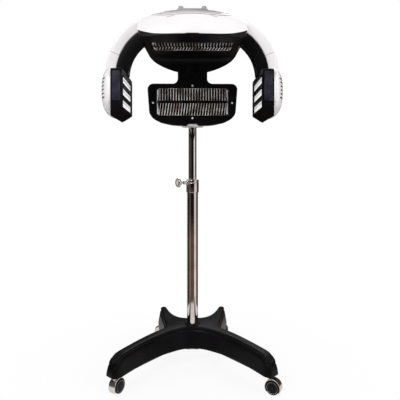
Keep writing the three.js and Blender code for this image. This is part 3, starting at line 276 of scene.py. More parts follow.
def repaint(finish_name, *nodes):
    """Frame nodes that keep their own shape take a finish."""
    for node in nodes:
        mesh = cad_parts[node].data
        mesh.materials.clear()
        mesh.materials.append(FINISHES[finish_name])


# Finishes

WHITE = (1, 1, 1, 1)
CLOUD_LOW, CLOUD_HIGH = 0.36, 0.64
RELIEF = 0.0004
FINISHES = {}


def plug(shader, values):
    """Fills a node's sockets: another node's output is linked, anything else is a constant."""
    for socket, value in values.items():
        if isinstance(value, bpy.types.NodeSocket):
            shader.id_data.links.new(value, shader.inputs[socket])
        else:
            shader.inputs[socket].default_value = value


def shader_node(tree, kind, values, **settings):
    """A new node with its settings made and its sockets filled."""
    made = tree.nodes.new(kind)
    for name, value in settings.items():
        setattr(made, name, value)
    plug(made, values)
    return made


def node_material(name):
    """A new material that uses nodes, and its tree."""
    material = bpy.data.materials.new(name)
    material.use_nodes = True
    return material, material.node_tree


def group_of(name, inputs, outputs):
    """A shader node group with named sockets."""
    tree = bpy.data.node_groups.new(name, "ShaderNodeTree")
    for label, kind, value in inputs:
        socket = tree.interface.new_socket(name=label, in_out="INPUT", socket_type=kind)
        if value is not None:
            socket.default_value = value
    for label, kind in outputs:
        tree.interface.new_socket(name=label, in_out="OUTPUT", socket_type=kind)
    return tree, tree.nodes.new("NodeGroupInput"), tree.nodes.new("NodeGroupOutput")


def moulded_group():
    """Slow cloudy change of colour and roughness, and a fine grain as a height."""
    tree, given, result = group_of(
        "Moulded surface",
        [("Vector", "NodeSocketVector", None), ("Colour", "NodeSocketColor", None),
         ("Shade", "NodeSocketColor", None), ("Roughness", "NodeSocketFloat", 0.3),
         ("Spread", "NodeSocketFloat", 0.08), ("Patch scale", "NodeSocketFloat", 6.0),
         ("Grain scale", "NodeSocketFloat", 900.0)],
        [("Colour", "NodeSocketColor"), ("Roughness", "NodeSocketFloat"), ("Height", "NodeSocketFloat")])
    source = given.outputs
    patch = shader_node(tree, "ShaderNodeTexNoise", {
        "Vector": source["Vector"], "Scale": source["Patch scale"], "Detail": 3}).outputs["Fac"]
    cloud = shader_node(tree, "ShaderNodeMapRange", {
        "Value": patch, "From Min": CLOUD_LOW, "From Max": CLOUD_HIGH})
    mix = shader_node(tree, "ShaderNodeMix", {
        "Factor": cloud.outputs["Result"], "A": source["Colour"], "B": source["Shade"]}, data_type="RGBA")
    centred = shader_node(tree, "ShaderNodeMath", {0: patch, 1: 0.5}, operation="SUBTRACT")
    rough = shader_node(tree, "ShaderNodeMath", {
        0: centred.outputs[0], 1: source["Spread"], 2: source["Roughness"]}, operation="MULTIPLY_ADD")
    grain = shader_node(tree, "ShaderNodeTexNoise", {
        "Vector": source["Vector"], "Scale": source["Grain scale"], "Detail": 2})
    plug(result, {
        "Colour": mix.outputs["Result"], "Roughness": rough.outputs[0], "Height": grain.outputs["Fac"]})
    return tree


MOULDED = moulded_group()


def finish(key, name, colour, shade, roughness, spread=0.08, metallic=0.0, coat=0.0, patch=6.0, grain=900.0,
           bump=0.05, specular=0.5, glow=0.0):
    """A material whose colour, roughness and grain come from the shared moulded surface, kept under a key."""
    material, tree = node_material(name)
    place = tree.nodes.new("ShaderNodeTexCoord").outputs["Object"]
    surface = shader_node(tree, "ShaderNodeGroup", {
        "Vector": place, "Colour": (*colour, 1), "Shade": (*shade, 1), "Roughness": roughness,
        "Spread": spread, "Patch scale": patch, "Grain scale": grain}, node_tree=MOULDED).outputs
    relief = shader_node(tree, "ShaderNodeBump", {
        "Strength": bump, "Distance": RELIEF, "Height": surface["Height"]})
    plug(tree.nodes["Principled BSDF"], {
        "Base Color": surface["Colour"], "Emission Color": surface["Colour"], "Emission Strength": glow,
        "Roughness": surface["Roughness"], "Normal": relief.outputs["Normal"], "Metallic": metallic,
        "Coat Weight": coat, "Specular IOR Level": specular})
    FINISHES[key] = material


# Sizes and colours

def tone(name, description, default):
    """A colour that can be set in the sidebar."""
    return FloatVectorProperty(name=name, description=description, subtype="COLOR", size=3, min=0, max=1,
                               default=default)


class ProcessorColours(bpy.types.PropertyGroup):
    """Colours of the finishes."""

    white: tone("White shell", "Colour of the outer shells", (0.88, 0.865, 0.872))
    white_shade: tone("White shade", "Cloudy shade in the white", (0.845, 0.815, 0.825))
    black: tone("Black shell", "Colour of the dark mouldings", (0.0022, 0.0022, 0.0028))
    black_shade: tone("Black shade", "Cloudy shade in the black", (0.0058, 0.0048, 0.0058))
    chrome: tone("Chrome", "Colour of the plated metal", (0.62, 0.58, 0.555))
    chrome_shade: tone("Chrome shade", "Warm tone in the plating", (0.52, 0.47, 0.44))
    grey: tone("Grey plastic", "Colour of the controls", (0.36, 0.355, 0.36))


class ProcessorSizes(bpy.types.PropertyGroup):
    """Sizes that shape the visible mouldings."""

    edge: FloatProperty(name="Edge bead", description="Height of the bead along the base cover's edge",
                        unit="LENGTH", default=0.0105, min=0.002, max=0.03)
    wires: IntProperty(name="Guard wires", description="Wires across each heater guard",
                       default=25, min=10, max=90)
    lens: FloatProperty(name="Lens", description="Focal length of the view", default=40.14, min=10, max=200)


class PROCESSOR_OT_finishes(bpy.types.Operator):
    """Makes the finishes of all pieces"""

    bl_idname = "processor.finishes"
    bl_label = "Finishes"

    def execute(self, context):
        c = context.scene.processor_colours
        finish("white", "White gloss shell", c.white, c.white_shade, 0.24, coat=0.2, patch=4.5, bump=0.02)
        # Painted shade: the beads round the control plate are painted dark grey to stand in for the shade
        # inside the hood's grooves.
        finish("shade", "Groove bead in painted shade", tuple(0.42 * v for v in c.white_shade),
               tuple(0.3 * v for v in c.white_shade), 0.5, patch=12)
        finish("black", "Black moulded shell", c.black, c.black_shade, 0.34, spread=0.14, patch=9, bump=0.06,
               specular=0.12)
        # Painted reflection: the blue in this black stands in for the bluish sheen of the lamps' front
        # panels.
        finish("gloss", "Black trim with painted blue sheen", (0.012, 0.011, 0.018), (0.036, 0.034, 0.05), 0.2, spread=0.1,
               patch=26, specular=0.2)
        finish("matt", "Black lamp box", c.black, c.black_shade, 0.5, spread=0.1, patch=14, bump=0.08,
               specular=0.03)
        finish("base", "Black satin base", c.black, c.black_shade, 0.4, spread=0.16, patch=7, bump=0.1,
               specular=0.07)
        finish("chrome", "Chrome plating", c.chrome, c.chrome_shade, 0.08, 0.05, metallic=1, patch=14,
               bump=0.01)
        finish("steel", "Painted steel", (0.3, 0.3, 0.31), (0.24, 0.24, 0.25), 0.45, metallic=0.7)
        # Painted light: the reflector foil glows a little, standing in for the bright reflections seen in the
        # lamp windows.
        finish("foil", "Reflector foil with painted glow", (0.9, 0.9, 0.905), (0.8, 0.8, 0.81), 0.35, 0.15, metallic=0.1, patch=45,
               grain=160, bump=0.2, glow=0.2)
        # Painted shade: the heater reflectors are bright metal, painted nearly black for the shadow they sit
        # in.
        finish("dim", "Reflector in painted shade", (0.006, 0.0055, 0.0055), (0.05, 0.035, 0.028), 0.34, 0.2,
               metallic=0.3, patch=30, grain=220, bump=0.25, specular=0.2)
        finish("mirror", "Bright screw", (0.9, 0.9, 0.91), (0.8, 0.8, 0.81), 0.25, 0.1, metallic=0.4,
               patch=40, bump=0.1)
        # Painted shade: the quartz tubes are painted near black so that they sit as dark as the shaded inside
        # of the heaters.
        finish("quartz", "Quartz tube in painted shade", (0.012, 0.01, 0.009), (0.13, 0.1, 0.08), 0.2, patch=60, specular=0.2)
        finish("lamp", "Lamp tube", (0.95, 0.95, 0.95), (0.86, 0.86, 0.87), 0.2, patch=40, coat=0.3, glow=0.4)
        finish("wire", "Guard wire", (0.96, 0.955, 0.95), (0.22, 0.16, 0.125), 0.35, patch=22)
        finish("grey", "Grey control plastic", c.grey, tuple(0.85 * v for v in c.grey), 0.42, bump=0.15)
        finish("rubber", "Wheel tread", (0.003, 0.003, 0.003), (0.007, 0.007, 0.0075), 0.45, bump=0.2,
               specular=0.12)
        finish("nylon", "Nylon", (0.7, 0.69, 0.65), (0.62, 0.61, 0.57), 0.5)
        finish("board", "Circuit board", (0.02, 0.12, 0.06), (0.015, 0.09, 0.045), 0.4)
        finish("glass", "Display glass", (0.01, 0.014, 0.018), (0.016, 0.02, 0.024), 0.06, coat=0.6)
        return {"FINISHED"}


# Base

FRONT_LEG, REAR_LEG = (288, -293), (142, 254)
FRONT_TIP_R, REAR_TIP_R = 15, 10
FRONT_NOTCH_Y, FRONT_NOTCH_POWER, REAR_NOTCH_Y, REAR_NOTCH_POWER = -37, 1.82, 75, 3.1
WAIST = np.array([106.0, -38.0])


def cover_outline():
    """Plan of the base: power curves at the notches, arcs at the leg ends and parabolas at the sides."""
    def edge(end, notch, power, steps):
        s = np.linspace(0, 1, steps, endpoint=False)
        return np.column_stack([end[0] * s, notch + (end[1] - notch) * s ** power])

    front_arc = arc(FRONT_LEG, FRONT_TIP_R, -142, 38, 14)
    rear_arc = arc(REAR_LEG, REAR_TIP_R, -4, 155, 14)
    front_side = parabola(front_arc[-1], WAIST + [62, -30], WAIST, 24)[1:-5]
    rear_side = parabola(WAIST, WAIST + [24, 110], rear_arc[0], 18)[4:]
    return mirrored(np.concatenate([
        edge(front_arc[0], FRONT_NOTCH_Y, FRONT_NOTCH_POWER, 30),
        front_arc,
        front_side,
        parabola(front_side[-1], WAIST, rear_side[0], 10)[1:-1],
        rear_side,
        rear_arc[1:],
        edge(rear_arc[-1], REAR_NOTCH_Y, REAR_NOTCH_POWER, 20)[::-1],
    ]))


CREST, CREST_FALL, NOSE_R, NOSE_REACH, NOSE_Z = 158.0, 17 / 434, 378.0, 56.0, 72.0
NOSE_RISE = CREST - CREST_FALL * NOSE_R - NOSE_Z


def cover_top(r):
    """Height of the cover at a radius: falls evenly, then rounds down over the front leg ends as a quarter of
    an ellipse."""
    share = np.clip((r - NOSE_R) / NOSE_REACH, 0, 1)
    return np.where(r < NOSE_R, CREST - CREST_FALL * r, NOSE_Z + NOSE_RISE * np.sqrt(1 - share ** 2))


def cover_reach(z):
    """Largest radius at a height: the same quarter ellipse, upright below it."""
    share = np.clip((z - NOSE_Z) / NOSE_RISE, 0, 1)
    return np.where(z < NOSE_Z + NOSE_RISE, NOSE_R + NOSE_REACH * np.sqrt(1 - share ** 2), 2 * NOSE_R)


class PROCESSOR_OT_base(bpy.types.Operator):
    """Builds the moulded base cover"""

    bl_idname = "processor.base"
    bl_label = "Base cover"

    def execute(self, context):
        bead = context.scene.processor_sizes.edge / MM
        outline = cover_outline()
        foot, draft, apex = 68.0, 18 / 98, 162.0
        low = [(-4, 1.5), (-4, 0), (-1, 0), (0, 1.5)]
        side = [(0.4, share) for share in np.linspace(0.06, 1, 9)]
        turn = np.linspace(-0.42 * math.pi, 0.5 * math.pi, 12)
        groove = [(-0.2, -1.85 * bead), (-1.6, -1.7 * bead), (-1.6, -1.45 * bead)]
        lip = [(0.4 - 0.62 * bead * (1 - math.cos(a)), -0.62 * bead * (1 - math.sin(a))) for a in turn]
        profile = np.array(low + side + groove + lip)
        crest = cover_top(np.linalg.norm(offset(outline, -4), axis=1))
        h = profile[:, 1:] + 0 * crest
        flank = slice(len(low), len(low) + len(side))
        h[flank] = foot + (crest - 2 * bead - foot) * h[flank]
        h[:len(low)] += foot
        h[flank.stop:] += crest
        away = (offset(outline, 1) - outline)[None] * (profile[:, :1] + draft * (apex - h))[..., None]
        rings = np.concatenate([outline[None] + away, h[..., None]], axis=-1)
        rings[..., :2] *= np.minimum(1, cover_reach(h) / np.hypot(rings[..., 0], rings[..., 1]))[..., None]
        cover = [sheet_of(at_base(rings), caps=(-1,))]
        collar = turned(soften([(24.6, 146), (36, 148), (33, 157.5), (27, 160), (24.6, 160)], 2.5))
        cover.append(sheet_of(at_base(collar)))
        piece("base_moulding", cover, "base", "base", ["base_cover"], sharp=50)
        repaint("steel", "base_frame", "pole_socket")
        repaint("nylon", "guide_bush")
        return {"FINISHED"}


# Mast and clamp

def tube(r_in, r_out, low, high):
    """A tube with softened rims about Z."""
    loop = soften([(r_in, low), (r_out, low), (r_out, high), (r_in, high)], 0.8, 4, closed=True)
    return turned(np.concatenate([loop, loop[:1]]), 72)


CLAMP_Z, CLAMP_TURN = 772, math.radians(27)
OUTER_TUBE, INNER_TUBE = (22, 24, 84.6, 758), (15.5, 17.5, 430, 1124)  # both radii, low and high end


def along_clamp(points):
    """Local Z laid along the clamp screw, out from the mast axis."""
    out = (-math.cos(CLAMP_TURN), -math.sin(CLAMP_TURN), 0)
    side = (math.sin(CLAMP_TURN), -math.cos(CLAMP_TURN), 0)
    return at_base(laid(points, (0, 0, 1), side, out) + [0, 0, CLAMP_Z])


class PROCESSOR_OT_mast(bpy.types.Operator):
    """Builds the telescopic tubes, the clamp collar and its knob"""

    bl_idname = "processor.mast"
    bl_label = "Mast and clamp"

    def execute(self, context):
        outer = tube(*OUTER_TUBE)
        piece("mast_outer_tube", [sheet_of(at_base(outer))], "chrome", "base", ["outer_tube"])
        inner = tube(*INNER_TUBE)
        piece("mast_inner_tube", [sheet_of(at_base(inner))], "chrome", "mast", ["inner_tube"])
        repaint("nylon", "mast_slider")

        body = soften([(24.3, 758), (24.3, 728), (26.2, 728), (27.5, 731), (27.5, 768), (26.3, 769.5),
                       (26.3, 771.5), (27.5, 773), (27.5, 781), (25, 785), (18, 785), (18, 758.4),
                       (24.3, 758.4)], 1.2, 5)
        boss = soften([(0.1, 24), (8, 24), (8, 43), (7, 46), (4.4, 46), (4.4, 30), (0.1, 30)], 1, 4)
        ear = soften([(0.1, 25), (11, 25), (11, 28), (8, 31), (0.1, 31)], 1.2, 4)
        collar = [sheet_of(at_base(turned(body, 72))), sheet_of(along_clamp(turned(boss, 32))),
                  sheet_of(along_clamp(turned(ear, 32)))]
        piece("clamp_collar_body", collar, "chrome", "base", ["clamp_collar"])

        screw = soften([(0.1, 17.9), (3.4, 17.9), (4, 19), (4, 68), (0.1, 68)], 0.8, 4)
        piece("clamp_screw_rod", [sheet_of(along_clamp(turned(screw, 28)))], "chrome", "clamp",
              ["clamp_screw"])
        disc = soften([(4.3, 53), (7.5, 53), (9, 55), (9, 60), (12, 62), (17.5, 62), (20.5, 64.5), (20.5, 72),
                       (18, 75), (14, 75), (12, 73.6), (0.1, 73.6)], 1.8, 6)
        piece("clamp_disc_knob", [sheet_of(along_clamp(turned(disc, 56)))], "chrome", "clamp",
              ["clamp_knob"])
        return {"FINISHED"}


# Casters

CASTERS = (("front_left", -FRONT_LEG[0], FRONT_LEG[1], -30), ("front_right", *FRONT_LEG, -120),
           ("rear_left", -REAR_LEG[0], REAR_LEG[1], 60), ("rear_right", *REAR_LEG, -37))
AXLE = np.array([0, 14, 26])


def on_caster(points, x, y, yaw):
    """Local frame of a caster: swivel axis on Z, axle along X, turned by its yaw and set under its leg."""
    c, s = math.cos(math.radians(yaw)), math.sin(math.radians(yaw))
    return at_base(points @ np.array([[c, s, 0], [-s, c, 0], [0, 0, 1]]) + [x, y, 0])


def on_axle(points):
    """Local Z laid along the axle, with the wheel behind the swivel axis."""
    return laid(points, *ALONG_X) + AXLE


class PROCESSOR_OT_casters(bpy.types.Operator):
    """Builds the four hooded casters"""

    bl_idname = "processor.casters"
    bl_label = "Casters"

    def execute(self, context):
        tread = soften([(4.4, -16.8), (21, -16.8), (24, -16.9), (26, -14.5), (26, 14.5), (24.4, 16.7),
                        (22.6, 16.8), (21.8, 15.6), (12, 15.2), (10, 16.5), (0.1, 16.9), (0.1, 16.5),
                        (4.4, 16.5), (4.4, -16.8)], 1.1, 5)
        ring = soften([(20.4, 15.3), (21.2, 16.2), (20.9, 16.5), (19.9, 15.7), (20.4, 15.3)], 0.3, 3)
        shell = soften([(28.5, 13), (31, 13), (31, -15), (27, -19.9), (0.1, -19.9), (0.1, -17.6),
                        (26, -17.6), (28.5, -14), (28.5, 13)], [0.8, 0.8, 4, 5, 1, 1, 3, 3, 0.8], 6)
        cup = turned(shell, 44, math.radians(-38), math.radians(256))
        hub = soften([(0.1, -20.6), (6, -20.6), (7.5, -19.4), (7.5, -17.6), (4, -17.6), (4, 15.6),
                      (3, 16.4), (0.1, 16.4)], 0.7, 4)
        post = soften([(0.1, 53), (8, 53), (8, 57), (12.4, 58.8), (13, 60), (13, 63), (12.4, 63.6),
                       (5.5, 63.6), (5.5, 77.5), (0.1, 77.5)], 0.7, 4)
        for name, x, y, yaw in CASTERS:
            def put(points):
                return on_caster(points, x, y, yaw)

            hood = [sheet_of(put(on_axle(cup)), wrap=False), sheet_of(put(on_axle(turned(hub, 32)))),
                    sheet_of(put(turned(post, 36)))]
            for end in (cup[:, 0], cup[:, -1]):
                middle = np.stack([end, np.repeat(end.mean(0)[None], len(end), 0)])
                hood.append(sheet_of(put(on_axle(middle)), wrap=False))
            piece(f"caster_cup_{name}", hood, "chrome", f"caster_{name}",
                  [f"caster_hood_{name}"])
            wheel = [sheet_of(put(on_axle(turned(tread, 56))))]
            piece(f"caster_tread_{name}", wheel, "rubber", f"wheel_{name}",
                  [f"caster_wheel_{name}"])
            trim = [sheet_of(put(on_axle(turned(ring, 56))))]
            piece(f"caster_ring_{name}", trim, "grey", f"wheel_{name}")
        return {"FINISHED"}


# Heaters

MODULE_W, MODULE_H = 316.0, 124.0
TUBE_HALF, TUBE_R, COIL_RIBS, PLATE_WALL = 149.4, 6, 90, 0.4


def ring_on(outline, place, radius, sides=8):
    """A round bead along a closed plane outline."""
    along = unit(np.roll(outline, -1, 0) - np.roll(outline, 1, 0))
    none = np.zeros(len(outline))
    up = np.tile([0.0, 0.0, 1.0], (len(outline), 1))
    ring = swept(np.column_stack([outline, none]), np.column_stack([along[:, 1], -along[:, 0], none]), up,
                 circle(radius, sides))
    return sheet_of(place(np.concatenate([ring, ring[:1]])))


GUARD_RIM_R, GUARD_RIM_Z = 2.2, 2.0
BAR_R, BAR_Y, BAR_Z = 2.0, 3.2, 2.6
WIRE_R, WIRE_FROM_Y, WIRE_LEAN, WIRE_Z = 1.5, 6, 3.5, 2
EDGE_WIRE_R, EDGE_WIRE_Z = 0.7, 2.2


def guard_sheets(wires, place):
    """A dark rim with two long bars, and two rows of bright wires: upright above, leaning below."""
    def rod(start, end, depth, radius, sides=6):
        return sheet_of(place(wire((*start, -depth), (*end, -depth), radius, sides)))

    rim = rounded_rect(MODULE_W - 6, MODULE_H - 6, 9)
    half_w, half_h = MODULE_W / 2 - 8, MODULE_H / 2 - 5
    bars = [ring_on(rim, lambda points: place(points - [0, 0, GUARD_RIM_Z]), GUARD_RIM_R, 10)]
    bars += [rod((-half_w, y), (half_w, y), BAR_Z, BAR_R, 8) for y in (-BAR_Y, BAR_Y)]
    rows = []
    for x in np.linspace(-half_w, half_w, wires + 2)[1:-1]:
        rows.append(rod((x, WIRE_FROM_Y), (x, half_h), WIRE_Z, WIRE_R))
        rows.append(rod((x + WIRE_LEAN, -WIRE_FROM_Y), (x - WIRE_LEAN, -half_h), WIRE_Z, WIRE_R))
    rows += [rod((-half_w, y), (half_w, y), EDGE_WIRE_Z, EDGE_WIRE_R) for y in (-half_h, half_h)]
    return bars, rows


def end_plates(place):
    """Bright folded plates at both ends of a heater: a zigzag carried upwards."""
    height = np.linspace(-MODULE_H / 2 + 9, MODULE_H / 2 - 9, 26)[:, None]
    plates = []
    for _, side in SIDES:
        fold = np.array([0.0, 3.5, 7.0, 10.0])[None, :]
        x = side * (MODULE_W / 2 - 6 - fold * (0.45 + 0.55 * np.abs(height) / (MODULE_H / 2)))
        z = -4.6 + 1.6 * np.array([0, 1, 0, 1])[None, :] + 0 * height
        plates.append(sheet_of(place(np.stack([x, height + 0 * fold, z], -1)), wrap=False))
    return plates


def heating_tube(name, start, end, radius, body, node, finish_name="quartz"):
    """A quartz tube with a coil inside it, seen as rings, and ceramic ends."""
    a, b = np.asarray(start, float), np.asarray(end, float)
    length = np.linalg.norm(b - a)
    ribs = np.linspace(14, length - 14, COIL_RIBS)
    wave = np.column_stack([radius * 0.8 + 0.12 * radius * np.cos(np.arange(COIL_RIBS) * math.pi), ribs])
    end_cap = np.array([(0.1, 0.3), (radius * 0.9, 0.3), (radius, 1.2), (radius, 12), (radius * 0.8, 13)])
    profile = np.concatenate([end_cap, wave, (end_cap * [1, -1] + [0, length])[::-1]])
    axis = (b - a) / length
    side = unit(np.cross(axis, [0, 0, 1.0]))
    grid = laid(turned(profile, 20), side, np.cross(axis, side), axis) + a
    piece(name, [sheet_of(at_head(grid))], finish_name, body, [node], sharp=60)


def heater(name, guard_node, ends_name, ends_finish, wires, place):
    """Guard, wires and end plates of one heater."""
    bars, rows = guard_sheets(wires, place)
    piece(f"{name}_guard", bars, "black", "head", [guard_node])
    piece(f"{name}_wires", rows, "wire", "head")
    piece(ends_name, end_plates(place), ends_finish, "head", wall=PLATE_WALL)


REAR_BACK_Y, PANEL_Y, NECK_RING_Y = -5.7, -56, -58.3
MODULE_Z, TUBE_OFF_Z, REAR_TUBE_Y = 102.0, 30.85, -41.7
BACK_VENT_X, BACK_VENT_W, BACK_VENT_H = 118, 78, 4
FRONT_SCREWS, BACK_SCREWS = ((0, 171), (0, 33), (-168, 98), (168, 98)), ((60, 160), (172, 160), (60, 40))


def panel_outline():
    """Front view of the rear lamp: a notch for the mast, a parabola below, round shoulders and fillets
    into the neck."""
    foot = parabola((27, 0), (173, 3), (184, 60), 26)
    shoulder = arc((166, 155), 25, 0, 90, 12)
    fillet = arc((84.5, 202), 22, -90, -180, 10)
    return mirrored(np.concatenate([[(0, 8), (17, 8)], foot, shoulder, fillet, [(62.5, 203.4), (0, 203.4)]]))


def on_front(points, y):
    """A front view (x, z, towards the viewer) set at a depth."""
    return at_head(laid(points, *FRONT_VIEW) + [0, y, 0])


def on_back(points):
    """A view from behind (x, z, away from the front) set on the back of the rear lamp."""
    return at_head(laid(points, (-1, 0, 0), (0, 0, 1), (0, 1, 0)) + [0, REAR_BACK_Y, 0])


class PROCESSOR_OT_rear_lamp(bpy.types.Operator):
    """Builds the rear lamp with its guard, tubes and back"""

    bl_idname = "processor.rear_lamp"
    bl_label = "Rear lamp"

    def execute(self, context):
        outline = panel_outline()
        wires = context.scene.processor_sizes.wires
        edge = stacked(outline, [(-6, -12), (0, -12), (0, -3.5), (-0.5, -1.7), (-1.7, -0.5), (-3.5, 0)])
        middle = np.array([0, MODULE_Z])
        angle = np.arctan2(*(outline - middle).T[::-1])
        reach = soft_rect_reach(angle, MODULE_W / 2, MODULE_H / 2)[:, None]
        ring = np.column_stack([np.cos(angle), np.sin(angle)]) * reach + middle
        hole = np.stack([np.column_stack([(ring - middle) * s + middle, np.full(len(ring), w)])
                         for s, w in ((1.02, 0), (1.008, -0.6), (1.0, -2), (1.0, -12))])
        front = [sheet_of(on_front(np.concatenate([edge, hole]), PANEL_Y))]
        piece("rear_lamp_front", front, "black", "head", ["rear_panel"])

        def place(points):
            return on_front(points + [0, MODULE_Z, 0], PANEL_Y)

        heater("rear_lamp", "rear_guard", "rear_lamp_ends", "mirror", wires, place)
        for name, z in (("upper", MODULE_Z + TUBE_OFF_Z), ("lower", MODULE_Z - TUBE_OFF_Z)):
            ends = [(x, REAR_TUBE_Y, z) for x in (-TUBE_HALF, TUBE_HALF)]
            heating_tube(f"rear_tube_{name}", *ends, TUBE_R, "head", f"rear_element_{name}")
        repaint("dim", "rear_reflector")
        screw = soften([(4.2, 0), (4.2, 0.6), (3, 1.7), (0.1, 2.1)], 0.6, 5)
        heads = [sheet_of(on_front(turned(screw, 24) + [x, z, 0], PANEL_Y))
                 for x, z in FRONT_SCREWS]
        piece("rear_lamp_screws", heads, "mirror", "head")
        copied("rear_cover", "rear_lamp_back", "white", "head", 3)
        # Painted shade: the back's vent slots are thin black plates standing for the shade inside the
        # openings.
        slot = stacked(rounded_rect(BACK_VENT_W, BACK_VENT_H, 2), [(0, -0.6), (0, 0.1), (-0.4, 0.35)])
        slots = [sheet_of(on_back(slot + [side * BACK_VENT_X, z, 0]), caps=(-1,))
                 for _, side in SIDES for z in np.linspace(96, 151, 6)]
        piece("rear_lamp_vents", slots, "black", "head")
        cross = soften([(0.1, 0.5), (2.4, 0.7), (2.6, 1.2), (3.6, 1.3), (4.6, 0.5), (4.6, -0.6)], 0.5, 4)
        heads = [sheet_of(on_back(turned(cross, 24) + [side * x, z, 0]))
                 for _, side in SIDES for x, z in BACK_SCREWS]
        piece("rear_lamp_back_screws", heads, "grey", "head")
        cap = soften([(0.1, 0.4), (20, 0.4), (22.5, 1.2), (23.5, 3), (25.5, 3), (27.5, 2), (27.5, 0),
                      (0.1, 0)], 1, 5)
        ring_at = np.array([0, 229, 0])
        piece("neck_ring", [sheet_of(on_front(turned(cap, 56) + ring_at, NECK_RING_Y))], "black", "head",
              ["neck_cap"])
        repaint("steel", "mast_socket", "spine_bracket")
        repaint("black", "power_inlet")
        return {"FINISHED"}


# Hood

MID_Y, MID_Z, HALF_W = -250.0, 288.0, 274.0
FRONT_D, REAR_D, RISE, SINK, TAPER = 159.0, 310.0, 128.0, 120.0, 0.35
END_X, RIM_BACK_Y, RIM_Z, RIM_LIFT = 198.0, -32.0, 290, 28
BOWL_Y, BOWL_Z, BOWL_HALF, BOWL_DROP, BOWL_SLOPE, BOWL_POWER = -58, 306, 188, 88, 0.25, 1.65
FRONT_ROWS, REAR_ROWS = 34, 60
SCAN_STEPS, RIM_STEPS = 1441, 400  # over half a turn, and those of them that only the rim stops
GROOVE_POWER, PLATE_Y = 3.2, -243
HOOD_MODULE, HOOD_TUBE_Z = np.array([0, -241.5, 286]), 300.3
BEAD_COUNT, BEAD_W, BEAD_D, BEAD_STEP_W, BEAD_STEP_D, BEAD_R = 5, 96, 92, 14, 9, 1.5
SLOT_X, SLOT_Y, SLOT_HALF, CATCH_AT = 77, -373, 13, np.array([0, -409, 288.6])


def rim_height(x):
    """The seam between white and black: z = rim + lift (x / end)^4."""
    return RIM_Z + RIM_LIFT * (x / END_X) ** 4


def bowl_height(x, y):
    """Underside of the bowl: z = top - drop (1 - |x / half|^p)^(1/p), rising evenly backwards."""
    left = np.clip(1 - np.abs(x / BOWL_HALF) ** BOWL_POWER, 0, 1)
    return BOWL_Z - BOWL_DROP * left ** (1 / BOWL_POWER) + BOWL_SLOPE * (y - BOWL_Y)


def dome_height(x, y):
    """Top of the dome: z = mid + rise sqrt(1 - (x / width)^2 - (y / depth)^2), narrower behind."""
    behind = np.clip((y - MID_Y) / REAR_D, 0, 1)
    ahead = np.clip((MID_Y - y) / FRONT_D, 0, 1)
    across = x / (HALF_W * (1 - TAPER * behind))
    return MID_Z + RISE * np.sqrt(np.clip(1 - across ** 2 - behind ** 2 - ahead ** 2, 0, 1))


def hood_front(x, up):
    """Front half of the dome at width x: an ellipse whose share up goes from the rim to the crown."""
    k = np.sqrt(1 - (x / HALF_W) ** 2)
    low = np.arcsin(np.clip((rim_height(x) - MID_Z) / (RISE * k), -1, 1))
    turn = low + (math.pi / 2 - low) * up
    return np.stack([x + 0 * turn, MID_Y - FRONT_D * k * np.cos(turn), MID_Z + RISE * k * np.sin(turn)], -1)


def hood_rear(x, turn):
    """Rear half: the same ellipse drawn out backwards and narrowed, found by stepping to the fixed point
    of behind = sqrt(1 - (x / (half (1 - taper behind)))^2) sin(turn)."""
    behind = np.zeros(np.broadcast(x, turn).shape)
    for _ in range(60):
        share = np.clip(x / (HALF_W * (1 - TAPER * behind)), -1, 1)
        behind = 0.5 * behind + 0.5 * np.sqrt(1 - share ** 2) * np.sin(turn)
    share = np.clip(x / (HALF_W * (1 - TAPER * behind)), -1, 1)
    high = np.sqrt(np.clip(1 - share ** 2 - behind ** 2, 0, 1)) * np.sign(np.cos(turn))
    z = MID_Z + np.where(high > 0, RISE, SINK) * high
    return np.stack([x + 0 * turn, MID_Y + REAR_D * behind, z], -1)


def hood_skin():
    """Rows from the front rim over the crown to the rear: behind the black underside the skin goes on below
    the rim until it meets the bowl, and comes forward again along the bowl's underside."""
    x = END_X * np.sin(np.linspace(-math.pi / 2, math.pi / 2, 97))[None, :]
    front = hood_front(x, np.linspace(0, 1, FRONT_ROWS)[:, None])
    scan = np.linspace(0, math.pi, SCAN_STEPS)[:, None]
    search = hood_rear(x, scan)
    y, z = search[..., 1], search[..., 2]
    met = np.where(y < RIM_BACK_Y, z <= rim_height(x), z <= bowl_height(x, y))
    met[:RIM_STEPS] &= z[:RIM_STEPS] <= rim_height(x)
    stop = scan[np.argmax(met, axis=0), 0][None, :]
    rear = hood_rear(x, stop * np.linspace(0, 1, REAR_ROWS)[:, None])
    last = rear[-1]
    under = last[:, 1] > RIM_BACK_Y
    way = np.where(under, RIM_BACK_Y - last[:, 1], 0)
    back = np.linspace(0, 1, 10)[1:, None] * way[None, :] + last[None, :, 1]
    low = np.where(under[None, :], bowl_height(x, back), last[None, :, 2])
    floor = np.stack([x + 0 * back, back, low], -1)
    return np.concatenate([front, rear[1:], floor])


def hood_groove(half_w, half_d, radius):
    """A fine bead on the dome along |x / w|^p + |y / d|^p = 1 about the control plate."""
    turn = np.linspace(0, FULL, 120)
    c, s = np.cos(turn), np.sin(turn)
    size = (np.abs(c) ** GROOVE_POWER + np.abs(s) ** GROOVE_POWER) ** (-1 / GROOVE_POWER)
    x, y = half_w * c * size, PLATE_Y + half_d * s * size
    path = np.column_stack([x, y, dome_height(x, y)])
    along = unit(np.gradient(path, axis=0))
    out = unit(np.cross(along, [0, 0, 1.0]))
    return swept(path, out, np.cross(out, along), circle(radius, 6))


